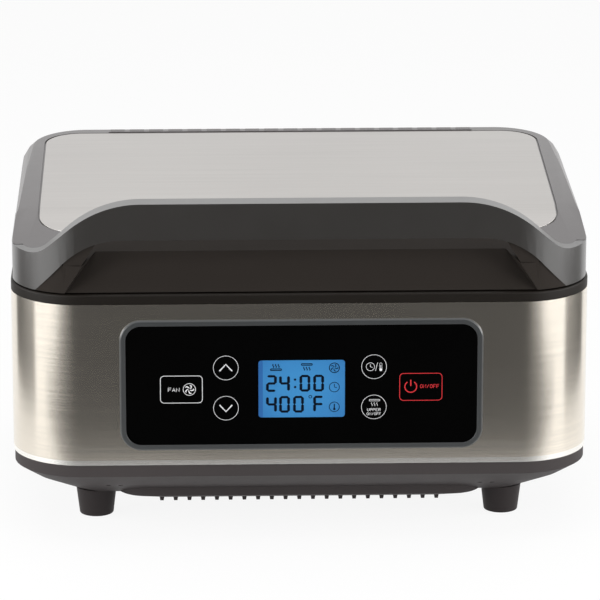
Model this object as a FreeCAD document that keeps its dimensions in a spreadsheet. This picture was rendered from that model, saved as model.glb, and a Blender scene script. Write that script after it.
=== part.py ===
import FreeCAD, Part
import math
import os
import types

import Sketcher
from FreeCAD import Placement, Rotation, Vector

# Smokeless electric table grill with a hinged, heated lid.
# X runs to the right, Y to the back and Z up from the surface that the grill stands on.
# Every piece is drawn about the middle of the body, and its Placement then moves it back by
# centre_shift, so that the origin lies under the middle of the whole object.

# Driving sizes in millimetres, degrees and counts
SIZES = {
    # Outer form of the body
    "body_width": 463.0,
    "body_depth": 345.0,
    "corner_radius": 57.0,
    "foot_height": 23.5,
    "skirt_rise": 31.5,
    "skirt_inset": 45.0,
    "skirt_front_inset": 60.0,
    "band_height": 10.0,
    "shell_height": 133.0,
    "ring_height": 8.0,
    "plastic_wall": 3.0,
    "sheet_wall": 1.0,
    "seat_gap": 0.2,
    "running_gap": 0.05,
    # Base pan
    "belly_drop": 6.5,
    "belly_half_width": 148.0,
    "belly_half_depth": 129.0,
    "belly_slope": 24.0,
    "belly_front_slope": 20.0,
    "belly_blend": 12.0,
    "rib_count": 21.0,
    "rib_pitch": 11.2,
    "rib_width": 4.0,
    "rib_drop": 3.2,
    "rib_length": 216.0,
    "vent_slot_width": 4.4,
    "vent_slot_length": 62.0,
    "upstand_height": 14.0,
    "drain_radius": 2.0,
    # Feet
    "foot_side_gap": 21.0,
    "foot_front_gap": 17.5,
    "foot_top_radius": 16.5,
    "foot_base_radius": 13.75,
    "pad_radius": 10.4,
    "pad_height": 2.4,
    "screw_radius": 1.6,
    # Cooking well and what lies in it
    "well_side_inset": 45.5,
    "well_front_inset": 51.5,
    "well_radius": 26.0,
    "well_height": 78.0,
    "well_sheet": 1.2,
    "well_flange": 10.0,
    "plate_side_gap": 5.0,
    "plate_front_gap": 6.0,
    "plate_height": 13.0,
    "plate_floor": 3.0,
    "plate_rest": 119.0,
    "ridge_count": 15.0,
    "ridge_pitch": 22.0,
    "ridge_height": 7.0,
    "ridge_base": 7.0,
    "ridge_crest": 3.6,
    "grease_slot_width": 4.4,
    "grease_slot_length": 44.0,
    "element_radius": 3.75,
    "element_turn": 25.0,
    "lower_element_height": 105.0,
    "tray_side_gap": 36.0,
    "tray_height": 25.0,
    "tray_wall": 1.5,
    "tray_floor_height": 65.5,
    "tray_pull_half_width": 42.0,
    # Smoke duct and fan
    "duct_floor": 35.0,
    "duct_height": 22.0,
    "duct_half_length": 45.0,
    "duct_side_gap": 9.5,
    "duct_wall": 2.0,
    "fan_inlet_radius": 40.0,
    "fan_radius": 64.0,
    "blade_count": 18.0,
    "blade_height": 27.0,
    "blade_inner_radius": 44.0,
    "blade_curve": 26.0,
    "blade_wall": 1.4,
    "shaft_radius": 2.5,
    "motor_radius": 29.0,
    # Control panel
    "panel_half_width": 144.5,
    "panel_half_height": 54.0,
    "panel_radius": 17.0,
    "panel_height": 66.5,
    "panel_proud": 2.0,
    "bezel_frame": 5.0,
    "glass_thickness": 2.8,
    "display_half_width": 34.4,
    "display_half_height": 23.6,
    "display_height": 63.3,
    # Lid
    "lid_gap": 1.2,
    "lid_side_inset": 1.0,
    "lid_crease_depth": 28.0,
    "lid_crease_height": 169.5,
    "lid_ridge_depth": 110.0,
    "lid_ridge_height": 185.0,
    "lid_back_height": 194.0,
    "lid_wall": 3.0,
    "recess_low_inset": 43.5,
    "recess_high_inset": 66.5,
    "recess_high_height": 178.0,
    "recess_foot_depth": 4.0,
    "panel_seat": 1.4,
    "panel_sheet": 1.2,
    "top_panel_inset": 21.5,
    "top_panel_front": 62.5,
    "top_panel_back_inset": 17.0,
    "top_panel_radius": 30.0,
    # Handle
    "handle_proud": 0.3,
    "handle_high": 215.0,
    "handle_under": 185.8,
    "handle_low": 172.0,
    "handle_bar_depth": 18.0,
    "handle_side_wall": 8.0,
    "handle_side_reach": 142.0,
    "top_shoulder_inset": 77.5,
    "top_elbow_inset": 18.2,
    "under_shoulder_inset": 64.5,
    "under_elbow_inset": 12.5,
    # Inside the lid
    "liner_side_inset": 41.5,
    "liner_front_inset": 66.5,
    "liner_back_inset": 47.5,
    "liner_roof": 172.0,
    "liner_sheet": 0.8,
    "liner_flange_height": 144.5,
    "guard_height": 156.5,
    "upper_element_height": 165.2,
    # Hinge
    "hinge_inset": 81.5,
    "hinge_back": 11.5,
    "hinge_lift": 1.0,
    "knuckle_radius": 8.0,
    "knuckle_half_width": 13.0,
    "ear_width": 8.0,
    "pin_radius": 3.0,
    # Back of the body
    "gland_inset": 66.5,
    "gland_height": 27.0,
    "gland_bore": 3.8,
    "gland_sleeve": 7.8,
}

doc = FreeCAD.newDocument("grill")
sheet = doc.addObject("Spreadsheet::Sheet", "Sizes")
for row, (alias, number) in enumerate(SIZES.items(), 1):
    sheet.set(f"A{row}", alias)
    sheet.set(f"B{row}", str(number))
    sheet.setAlias(f"B{row}", alias)
doc.recompute()


class Size:
    """A number that also knows its formula in the sheet."""

    def __init__(self, value, text):
        self.value = float(value)
        self.text = text

    def __add__(self, other):
        return combine(self, "+", other, lambda a, b: a + b)

    def __radd__(self, other):
        return combine(other, "+", self, lambda a, b: a + b)

    def __sub__(self, other):
        return combine(self, "-", other, lambda a, b: a - b)

    def __rsub__(self, other):
        return combine(other, "-", self, lambda a, b: a - b)

    def __mul__(self, other):
        return combine(self, "*", other, lambda a, b: a * b)

    def __rmul__(self, other):
        return combine(other, "*", self, lambda a, b: a * b)

    def __truediv__(self, other):
        return combine(self, "/", other, lambda a, b: a / b)

    def __rtruediv__(self, other):
        return combine(other, "/", self, lambda a, b: a / b)

    def __neg__(self):
        return 0 - self


def as_size(number):
    """Take a Size as it is, and give a bare number its own text."""
    if isinstance(number, Size):
        return number
    return Size(number, repr(float(number)))


def combine(left, sign, right, work):
    """Join two sizes by one sign, in value and in formula."""
    first = as_size(left)
    second = as_size(right)
    return Size(work(first.value, second.value), f"({first.text} {sign} {second.text})")


def bind(item, name, number):
    """Tie a property to a formula of the sheet."""
    item.setExpression(name, as_size(number).text)


g = types.SimpleNamespace(**{alias: Size(number, f"Sizes.{alias}") for alias, number in SIZES.items()})

# Heights and half sizes that follow from the driving ones
half_w = g.body_width / 2
half_d = g.body_depth / 2
seat_z = g.foot_height
band_z = seat_z + g.skirt_rise
shell_z = band_z + g.band_height
shell_top = shell_z + g.shell_height
ring_top = shell_top + g.ring_height
lid_z = ring_top + g.lid_gap
belly_z = seat_z - g.belly_drop
belly_floor = belly_z + g.plastic_wall

# The sheet gives these heights above the lower edge of the steel wall
for alias in (
    "plate_rest", "lower_element_height", "tray_floor_height", "duct_floor", "panel_height",
    "display_height", "lid_crease_height", "lid_ridge_height", "lid_back_height",
    "recess_high_height", "handle_high", "handle_under", "handle_low", "liner_roof",
    "liner_flange_height", "guard_height", "upper_element_height", "gland_height",
):
    setattr(g, alias, shell_z + getattr(g, alias))

# Half sizes and places that follow the outline of the body or the well
g.foot_x = half_w - g.skirt_inset - g.foot_side_gap
g.foot_y = half_d - g.skirt_front_inset - g.foot_front_gap
g.well_half_width = half_w - g.well_side_inset
g.well_half_depth = half_d - g.well_front_inset
g.plate_half_width = g.well_half_width - g.plate_side_gap
g.plate_half_depth = g.well_half_depth - g.plate_front_gap
g.tray_half_width = g.well_half_width - g.tray_side_gap
g.duct_reach = half_w - g.duct_side_gap
g.recess_low_half_width = half_w - g.recess_low_inset
g.recess_high_half_width = half_w - g.recess_high_inset
g.top_panel_half_width = half_w - g.top_panel_inset
g.top_panel_back = g.body_depth - g.top_panel_back_inset
g.handle_top_shoulder = half_w - g.top_shoulder_inset
g.handle_top_elbow = half_w - g.top_elbow_inset
g.handle_under_shoulder = half_w - g.under_shoulder_inset
g.handle_under_elbow = half_w - g.under_elbow_inset
g.liner_half_width = half_w - g.liner_side_inset
g.liner_front = half_d - g.liner_front_inset
g.liner_back = half_d - g.liner_back_inset
g.hinge_x = half_w - g.hinge_inset
g.gland_x = half_w - g.gland_inset
well_floor = ring_top - g.well_height
pivot_y = half_d + g.hinge_back
pivot_z = ring_top + g.hinge_lift
centre_shift = (g.panel_proud - g.hinge_back - g.knuckle_radius) / 2

PLANE_NORMAL = {"XY_Plane": 1, "XZ_Plane": -1, "YZ_Plane": 1}


# Drawing helpers

def new_body(label):
    """Start a body that carries one solid."""
    body = doc.addObject("PartDesign::Body", label)
    body.Label = label
    return body


def origin_feature(body, role):
    """Find one of the body's own origin planes or axes."""
    return [item for item in body.Origin.OriginFeatures if item.Role == role][0]


def new_sketch(body, name, plane, level=0):
    """Start a sketch on a plane of the body's origin, moved along that plane's normal axis."""
    sketch = body.newObject("Sketcher::SketchObject", name)
    sketch.AttachmentSupport = (origin_feature(body, plane), [""])
    sketch.MapMode = "FlatFace"
    bind(sketch, ".AttachmentOffset.Base.z", as_size(level) * PLANE_NORMAL[plane])
    return sketch


def fix_point(sketch, geometry, end, spot):
    """Hold one end of a piece of geometry at a place given by two sizes."""
    for kind, number in zip(("DistanceX", "DistanceY"), spot):
        size = as_size(number)
        index = sketch.addConstraint(Sketcher.Constraint(kind, -1, 1, geometry, end, size.value))
        bind(sketch, f"Constraints[{index}]", size)


def add_polygon(sketch, corners):
    """Draw a closed outline of straight lines through the given corners."""
    first = sketch.GeometryCount
    count = len(corners)
    spots = [Vector(as_size(x).value, as_size(y).value, 0) for x, y in corners]
    for index in range(count):
        sketch.addGeometry(Part.LineSegment(spots[index], spots[(index + 1) % count]), False)
    for index in range(count):
        following = first + (index + 1) % count
        sketch.addConstraint(Sketcher.Constraint("Coincident", first + index, 2, following, 1))
    for index, corner in enumerate(corners):
        fix_point(sketch, first + index, 1, corner)


def add_rectangle(sketch, left, right, low, high):
    """Draw an upright rectangle."""
    add_polygon(sketch, [(left, low), (right, low), (right, high), (left, high)])


def add_rounded(sketch, left, right, low, high, radius):
    """Draw an upright rectangle with four equal round corners."""
    x0, x1, y0, y1, r = [as_size(number).value for number in (left, right, low, high, radius)]
    base = sketch.GeometryCount
    corners = ((x1 - r, y0 + r), (x1 - r, y1 - r), (x0 + r, y1 - r), (x0 + r, y0 + r))
    centres = [Vector(x, y, 0) for x, y in corners]
    sides = [
        (Vector(x0 + r, y0, 0), Vector(x1 - r, y0, 0)),
        (Vector(x1, y0 + r, 0), Vector(x1, y1 - r, 0)),
        (Vector(x1 - r, y1, 0), Vector(x0 + r, y1, 0)),
        (Vector(x0, y1 - r, 0), Vector(x0, y0 + r, 0)),
    ]
    for turn in range(4):
        sketch.addGeometry(Part.LineSegment(*sides[turn]), False)
        start = (turn - 1) * math.pi / 2
        circle = Part.Circle(centres[turn], Vector(0, 0, 1), r)
        sketch.addGeometry(Part.ArcOfCircle(circle, start, start + math.pi / 2), False)
    for index in range(8):
        sketch.addConstraint(Sketcher.Constraint("Tangent", base + index, 2, base + (index + 1) % 8, 1))
    for index, kind in enumerate(("Horizontal", "Vertical", "Horizontal", "Vertical")):
        sketch.addConstraint(Sketcher.Constraint(kind, base + 2 * index))
    for index in (3, 5, 7):
        sketch.addConstraint(Sketcher.Constraint("Equal", base + 1, base + index))
    held = [
        (Sketcher.Constraint("Radius", base + 1, r), radius),
        (Sketcher.Constraint("DistanceX", -1, 1, base + 6, 1, x0), left),
        (Sketcher.Constraint("DistanceX", -1, 1, base + 2, 1, x1), right),
        (Sketcher.Constraint("DistanceY", -1, 1, base, 1, y0), low),
        (Sketcher.Constraint("DistanceY", -1, 1, base + 4, 1, y1), high),
    ]
    for constraint, number in held:
        index = sketch.addConstraint(constraint)
        bind(sketch, f"Constraints[{index}]", number)


def centred(half_x, half_y):
    """The frame of a rectangle about the middle: left, right, low and high."""
    return (-as_size(half_x), as_size(half_x), -as_size(half_y), as_size(half_y))


def add_inset(sketch, frame, radius, step=0):
    """Draw a rounded rectangle on a frame, moved inwards by step."""
    left, right, low, high = frame
    add_rounded(sketch, left + step, right - step, low + step, high - step, radius - step)


def in_order(first, second):
    """Put two sizes in rising order."""
    return sorted((as_size(first), as_size(second)), key=lambda size: size.value)


def add_circle(sketch, centre, radius):
    """Draw a circle at a place given by two sizes."""
    spot = Vector(as_size(centre[0]).value, as_size(centre[1]).value, 0)
    circle = Part.Circle(spot, Vector(0, 0, 1), as_size(radius).value)
    index = sketch.addGeometry(circle, False)
    fix_point(sketch, index, 3, centre)
    held = sketch.addConstraint(Sketcher.Constraint("Radius", index, as_size(radius).value))
    bind(sketch, f"Constraints[{held}]", radius)


def add_path(sketch, start, steps):
    """Draw an open path of lines and arcs; an arc step also names its centre and its turning sense."""
    here = start
    previous = None
    for step in steps:
        a = Vector(as_size(here[0]).value, as_size(here[1]).value, 0)
        b = Vector(as_size(step[0][0]).value, as_size(step[0][1]).value, 0)
        if len(step) == 1:
            index = sketch.addGeometry(Part.LineSegment(a, b), False)
            first, last = 1, 2
        else:
            centre = Vector(as_size(step[1][0]).value, as_size(step[1][1]).value, 0)
            left_turn = step[2] > 0
            low, high = (a, b) if left_turn else (b, a)
            circle = Part.Circle(centre, Vector(0, 0, 1), (a - centre).Length)
            angles = [math.atan2(spot.y - centre.y, spot.x - centre.x) for spot in (low, high)]
            index = sketch.addGeometry(Part.ArcOfCircle(circle, angles[0], angles[1]), False)
            first, last = (1, 2) if left_turn else (2, 1)
        if previous is None:
            fix_point(sketch, index, first, here)
        else:
            sketch.addConstraint(Sketcher.Constraint("Coincident", previous[0], previous[1], index, first))
        fix_point(sketch, index, last, step[0])
        if len(step) > 1:
            size = as_size(step[1][0])
            held = sketch.addConstraint(Sketcher.Constraint("DistanceX", -1, 1, index, 3, size.value))
            bind(sketch, f"Constraints[{held}]", size)
        previous = (index, last)
        here = step[0]


# Solid helpers

def pad(body, name, sketch, length, towards=1, middle=False):
    """Raise a solid from a sketch, along the positive axis when towards is 1."""
    feature = body.newObject("PartDesign::Pad", name)
    feature.Profile = sketch
    bind(feature, "Length", length)
    feature.Midplane = middle
    feature.Reversed = towards * plane_sense(sketch) < 0
    return feature


def pocket(body, name, sketch, length=None, towards=1, middle=False):
    """Cut a sketch out of the body along the positive axis when towards is 1, or right through."""
    doc.recompute()
    before = body.Tip.Shape.Volume
    feature = body.newObject("PartDesign::Pocket", name)
    feature.Profile = sketch
    feature.Midplane = middle
    if length is None:
        feature.Type = "ThroughAll"
        feature.Midplane = True
    else:
        bind(feature, "Length", length)
    feature.Reversed = towards * plane_sense(sketch) > 0
    doc.recompute()
    if not feature.Shape.Volume < before - 1e-6:
        raise RuntimeError(f"{name} cut nothing")
    return feature


def plane_sense(sketch):
    """Say whether the sketch's normal runs along the positive or the negative axis."""
    return PLANE_NORMAL[sketch.AttachmentSupport[0][0].Role]


def loft(body, name, sketches, cut=False):
    """Join rounded outlines at several heights by straight faces."""
    kind = "PartDesign::SubtractiveLoft" if cut else "PartDesign::AdditiveLoft"
    feature = body.newObject(kind, name)
    feature.Profile = sketches[0]
    feature.Sections = sketches[1:]
    feature.Ruled = True
    return feature


def turn(body, name, sketch):
    """Turn an outline in the XZ plane about the body's own Z axis."""
    feature = body.newObject("PartDesign::Revolution", name)
    feature.Profile = sketch
    feature.ReferenceAxis = (origin_feature(body, "Z_Axis"), [""])
    feature.Angle = 360
    return feature


def repeat_row(body, name, feature, axis, length, count):
    """Repeat a feature in a row, the first copy staying where it is."""
    pattern = body.newObject("PartDesign::LinearPattern", name)
    pattern.Originals = [feature]
    pattern.Direction = (origin_feature(body, axis), [""])
    bind(pattern, "Length", length)
    bind(pattern, "Occurrences", count)
    body.Tip = pattern
    return pattern


def repeat_round(body, name, feature, count):
    """Repeat a feature evenly about the body's Z axis."""
    pattern = body.newObject("PartDesign::PolarPattern", name)
    pattern.Originals = [feature]
    pattern.Axis = (origin_feature(body, "Z_Axis"), [""])
    pattern.Angle = 360
    bind(pattern, "Occurrences", count)
    body.Tip = pattern
    return pattern


def soften(body, name, radius, test, kind="Fillet"):
    """Round or chamfer the edges of the body's last feature that pass the test."""
    doc.recompute()
    base = body.Tip
    names = [f"Edge{index}" for index, edge in enumerate(base.Shape.Edges, 1) if test(edge)]
    if not names:
        raise RuntimeError(f"{name} found no edge")
    feature = body.newObject(f"PartDesign::{kind}", name)
    feature.Base = (base, names)
    bind(feature, "Radius" if kind == "Fillet" else "Size", radius)
    return feature


def runs_along(edge, axis):
    """Say whether a straight edge runs along one axis."""
    if edge.Curve.TypeId != "Part::GeomLine" or len(edge.Vertexes) != 2:
        return False
    span = edge.Vertexes[1].Point - edge.Vertexes[0].Point
    return abs(span.normalize()[axis]) > 0.999


def spot_near(edge, places, axes=(0, 2), tolerance=0.6):
    """Say whether the middle of an edge lies at one of the places."""
    centre = edge.CenterOfMass
    for place in places:
        gaps = [abs(centre[axis] - as_size(number).value) for axis, number in zip(axes, place)]
        if max(gaps) < tolerance:
            return True
    return False


def on_level(edge, axis, level):
    """Say whether an edge lies flat at one level of an axis."""
    box = edge.BoundBox
    low = (box.XMin, box.YMin, box.ZMin)[axis]
    high = (box.XMax, box.YMax, box.ZMax)[axis]
    return abs(low - level.value) < 0.01 and abs(high - level.value) < 0.01


pieces = {}


def keep(item, node, x=0, y=0, z=0):
    """Name a finished sub-part and put it in its place."""
    item.Label = node
    bind(item, ".Placement.Base.x", x)
    bind(item, ".Placement.Base.y", centre_shift + y)
    bind(item, ".Placement.Base.z", z)
    pieces[node] = item
    return item


def boolean(kind, label, base, tool):
    """Cut, fuse or intersect two objects."""
    item = doc.addObject(f"Part::{kind}", label)
    item.Label = label
    item.Base = base
    item.Tool = tool
    return item


def box_body(node, x0, x1, y0, y1, z0, z1):
    """Make a plain block as the start of a small piece."""
    body = new_body(node)
    sketch = new_sketch(body, node + "_plan", "XY_Plane", z0)
    add_rectangle(sketch, x0, x1, y0, y1)
    pad(body, node + "_block", sketch, as_size(z1) - z0)
    return body


def disc_body(node, outline):
    """Make a turned piece from the outline of its half section."""
    body = new_body(node)
    sketch = new_sketch(body, node + "_section", "XZ_Plane")
    add_polygon(sketch, outline)
    turn(body, node + "_turned", sketch)
    return body


BODY = centred(half_w, half_d)
WELL = centred(g.well_half_width, g.well_half_depth)
PLATE = centred(g.plate_half_width, g.plate_half_depth)
BELLY = centred(g.belly_half_width, g.belly_half_depth)
LINER = (-g.liner_half_width, g.liner_half_width, -g.liner_front, g.liner_back)
PANEL = (-g.panel_half_width, g.panel_half_width,
         g.panel_height - g.panel_half_height, g.panel_height + g.panel_half_height)
DISPLAY = (-g.display_half_width, g.display_half_width,
           g.display_height - g.display_half_height, g.display_height + g.display_half_height)

# Places of the screws through the back wall, and their height
BACK_SCREW_X = (-185.0, -95.0, 95.0, 135.0)
BACK_SCREW_Z = shell_z + 6.5


# Base pan: sloped skirt, hollow belly with cooling slots between its ribs, seats of the feet

def skirt_sections(body, name, inset, floor_lift):
    """Outlines of the pan from its floor to its rim, all moved inwards by the same inset."""
    levels = [
        (seat_z + floor_lift, g.skirt_inset, g.skirt_front_inset, as_size(30.0)),
        (seat_z + g.skirt_rise * 0.62, g.skirt_inset * 0.34, g.skirt_front_inset * 0.34, as_size(46.0)),
        (band_z, as_size(1.0), as_size(1.0), g.corner_radius - 1),
        (shell_z, as_size(1.0), as_size(1.0), g.corner_radius - 1),
    ]
    sketches = []
    for index, (level, side_step, front_step, radius) in enumerate(levels):
        sketch = new_sketch(body, f"{name}_{index}", "XY_Plane", level)
        half_x = half_w - side_step - inset
        half_y = half_d - front_step - inset
        add_rounded(sketch, *centred(half_x, half_y), radius - inset)
        sketches.append(sketch)
    return sketches


def belly_sections(body, name, inset, lift):
    """Outlines of the belly, from its floor up to where it comes out of the skirt's slope."""
    bottom = centred(g.belly_half_width - g.belly_slope, g.belly_half_depth - g.belly_front_slope)
    levels = [
        (belly_z + lift, bottom, 16.0),
        (seat_z + 1 + lift, BELLY, 24.0),
        (seat_z + g.belly_blend + lift, BELLY, 24.0),
    ]
    sketches = []
    for index, (level, frame, radius) in enumerate(levels):
        sketch = new_sketch(body, f"{name}_{index}", "XY_Plane", level)
        add_inset(sketch, frame, radius, inset)
        sketches.append(sketch)
    return sketches


def make_base_pan():
    body = new_body("base_pan")
    loft(body, "skirt", skirt_sections(body, "skirt_outline", as_size(0), 0))
    loft(body, "belly", belly_sections(body, "belly_outline", as_size(0), 0))
    wall = g.plastic_wall
    loft(body, "skirt_hollow", skirt_sections(body, "hollow_outline", wall, wall), cut=True)
    loft(body, "belly_hollow", belly_sections(body, "belly_hollow_outline", wall, wall), cut=True)
    upstand = new_sketch(body, "upstand_outline", "XY_Plane", band_z)
    step = 1.0 + g.sheet_wall + g.seat_gap
    add_inset(upstand, BODY, g.corner_radius, step)
    add_inset(upstand, BODY, g.corner_radius, step + wall)
    pad(body, "upstand", upstand, g.band_height + g.upstand_height)
    fixing = new_sketch(body, "back_fixing_outline", "XZ_Plane", half_d + 1)
    for x in BACK_SCREW_X:
        add_circle(fixing, (x, BACK_SCREW_Z), g.screw_radius + g.running_gap)
    pocket(body, "back_fixings", fixing, 8.0, towards=-1)
    first_rib = (g.rib_count - 1) * g.rib_pitch / -2
    rib = new_sketch(body, "rib_section", "XZ_Plane")
    half_rib = g.rib_width / 2
    add_polygon(rib, [
        (first_rib - half_rib, belly_z + 0.5),
        (first_rib - half_rib + 0.6, belly_z - g.rib_drop),
        (first_rib + half_rib - 0.6, belly_z - g.rib_drop),
        (first_rib + half_rib, belly_z + 0.5),
    ])
    first = pad(body, "rib", rib, g.rib_length, middle=True)
    repeat_row(body, "ribs", first, "X_Axis", (g.rib_count - 1) * g.rib_pitch, g.rib_count)
    slot = new_sketch(body, "vent_slot_plan", "XY_Plane", belly_z - 1)
    slot_x = first_rib + g.rib_pitch / 2
    for side in (-1, 1):
        middle_y = side * (g.vent_slot_length / 2 + 6)
        add_rectangle(slot, slot_x - g.vent_slot_width / 2, slot_x + g.vent_slot_width / 2,
                      middle_y - g.vent_slot_length / 2, middle_y + g.vent_slot_length / 2)
    first = pocket(body, "vent_slot", slot, g.plastic_wall + 2)
    repeat_row(body, "vent_slots", first, "X_Axis", (g.rib_count - 2) * g.rib_pitch, g.rib_count - 1)
    boss = new_sketch(body, "boss_plan", "XY_Plane", seat_z + 1)
    for sx in (-1, 1):
        for sy in (-1, 1):
            add_circle(boss, (sx * g.foot_x, sy * g.foot_y), 6.0)
    pad(body, "foot_bosses", boss, 18.0)
    hole = new_sketch(body, "boss_holes_plan", "XY_Plane", seat_z - 1)
    for sx in (-1, 1):
        for sy in (-1, 1):
            add_circle(hole, (sx * g.foot_x, sy * g.foot_y), g.screw_radius + g.running_gap)
    pocket(body, "boss_holes", hole, 19.0)
    drain = new_sketch(body, "drain_plan", "XY_Plane", seat_z - 2)
    for x in (-155.0, -145.0, 145.0, 155.0):
        add_circle(drain, (x, g.skirt_front_inset * 0.5 - half_d), g.drain_radius)
    pocket(body, "drain_holes", drain, 25.0)
    keep(body, "base_pan")


# Height of the step in a foot that the screw's head bears on
FOOT_STEP = 10.0
SCREW_HEAD_RADIUS = 3.4
SCREW_HEAD_HEIGHT = 2.2


def make_feet():
    """Tapered feet, each with a soft pad below and a screw up into the pan."""
    corners = {"front_left": (-1, -1), "front_right": (1, -1), "back_left": (-1, 1), "back_right": (1, 1)}
    step_z = FOOT_STEP
    for place, (sx, sy) in corners.items():
        foot = disc_body(f"foot_{place}", [
            (g.screw_radius + 0.6, step_z), (5.0, step_z), (5.0, g.pad_height + 0.2),
            (g.pad_radius + g.seat_gap, g.pad_height + 0.2), (g.pad_radius + g.seat_gap, 0.6),
            (g.foot_base_radius, 0.6), (g.foot_top_radius, seat_z), (g.screw_radius + 0.6, seat_z),
        ])
        keep(foot, f"foot_{place}", sx * g.foot_x, sy * g.foot_y)
        pad_piece = disc_body(f"foot_pad_{place}", [
            (0.0, 0.0), (g.pad_radius - 1, 0.0), (g.pad_radius, 1.0), (g.pad_radius, g.pad_height),
            (0.0, g.pad_height),
        ])
        keep(pad_piece, f"foot_pad_{place}", sx * g.foot_x, sy * g.foot_y)


def make_screw_group(node, spots, length):
    """Equal screws as one group; each place is the point under the head and the way that the shank runs."""
    screws = []
    for index, (spot, direction) in enumerate(spots):
        screw = disc_body(f"{node}_{index}", [
            (0.0, -SCREW_HEAD_HEIGHT), (SCREW_HEAD_RADIUS * 0.7, -SCREW_HEAD_HEIGHT),
            (SCREW_HEAD_RADIUS, SCREW_HEAD_HEIGHT * -0.5), (SCREW_HEAD_RADIUS, 0.0), (g.screw_radius, 0.0),
            (g.screw_radius, length), (0.0, length),
        ])
        screw.Placement = Placement(Vector(0, 0, 0), Rotation(Vector(0, 0, 1), direction))
        for axis, number in zip("xyz", spot):
            bind(screw, f".Placement.Base.{axis}", number)
        screws.append(screw)
    group = doc.addObject("Part::Compound", node)
    group.Links = screws
    keep(group, node)


def make_screws():
    up = Vector(0, 0, 1)
    forward = Vector(0, -1, 0)
    feet = [((sx * g.foot_x, sy * g.foot_y, as_size(FOOT_STEP)), up) for sx in (-1, 1) for sy in (-1, 1)]
    make_screw_group("foot_screws", feet, 26.0)
    back = [((x, half_d + 0.1, as_size(BACK_SCREW_Z)), forward) for x in BACK_SCREW_X]
    make_screw_group("back_screws", back, 7.5)
    liner = [((x, y, g.liner_flange_height - 0.1), up) for x, y in LID_SCREWS]
    make_screw_group("lid_screws", liner, 10.0)
    wall = half_w + g.handle_proud - g.handle_side_wall - g.lid_wall - 0.1
    sides = [((side * wall, y, as_size(HANDLE_SCREW_Z)), Vector(side, 0, 0))
             for side in (-1, 1) for y in HANDLE_SCREW_Y]
    make_screw_group("handle_screws", sides, 8.0)


# Steel wall of the body, wrapped round and cut for the panel, the tray, the vent and the inlet

tray_low = g.tray_floor_height
tray_high = tray_low + g.tray_height


def make_body_shell():
    body = new_body("body_shell")
    outline = new_sketch(body, "shell_outline", "XY_Plane", shell_z)
    add_inset(outline, BODY, g.corner_radius)
    add_inset(outline, BODY, g.corner_radius, g.sheet_wall)
    pad(body, "wall", outline, g.shell_height)
    window = new_sketch(body, "window_outline", "XZ_Plane", -half_d - 1)
    add_inset(window, PANEL, g.panel_radius, g.bezel_frame - 2.5)
    pocket(body, "window", window, 8.0)
    back = new_sketch(body, "back_openings_outline", "XZ_Plane", half_d + 1)
    reach = g.tray_half_width + 4
    add_rounded(back, -reach, reach, tray_low - 2, tray_high + 2, 3.0)
    add_rounded(back, -66.0, 66.0, shell_z + 14, shell_z + 44, 3.0)
    add_circle(back, (g.gland_x, g.gland_height), g.gland_sleeve + g.seat_gap)
    for x in BACK_SCREW_X:
        add_circle(back, (x, BACK_SCREW_Z), 1.9)
    pocket(body, "back_openings", back, 8.0, towards=-1)
    keep(body, "body_shell")


def make_trim_ring():
    """Dark ring that caps the steel wall and carries the cooking well."""
    body = new_body("trim_ring")
    outline = new_sketch(body, "ring_outline", "XY_Plane", shell_top)
    add_inset(outline, BODY, g.corner_radius)
    pad(body, "ring", outline, g.ring_height)
    soften(body, "ring_edge", 1.6, lambda edge: on_level(edge, 2, ring_top))
    opening = new_sketch(body, "opening_outline", "XY_Plane", ring_top)
    add_inset(opening, WELL, g.well_radius, -g.seat_gap)
    pocket(body, "opening", opening)
    under = new_sketch(body, "under_outline", "XY_Plane", shell_top)
    inner = g.sheet_wall + g.seat_gap + g.plastic_wall
    add_inset(under, BODY, g.corner_radius, inner)
    add_inset(under, WELL, g.well_radius, -4.0)
    pocket(body, "under_hollow", under, g.ring_height - g.plastic_wall)
    skirt = new_sketch(body, "ring_skirt_outline", "XY_Plane", shell_top)
    add_inset(skirt, BODY, g.corner_radius, g.sheet_wall + g.seat_gap)
    add_inset(skirt, BODY, g.corner_radius, inner)
    pad(body, "ring_skirt", skirt, 8.0, towards=-1)
    keep(body, "trim_ring")


# Cooking well

INTAKE_Y = [offset * 13.0 for offset in (-2.5, -1.5, -0.5, 0.5, 1.5, 2.5)]
INTAKE_LOW = shell_z + 101
INTAKE_HIGH = shell_z + 123
ELEMENT_END_X = (-165.0, -140.0)
PROBE_Y = 90.0


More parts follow.
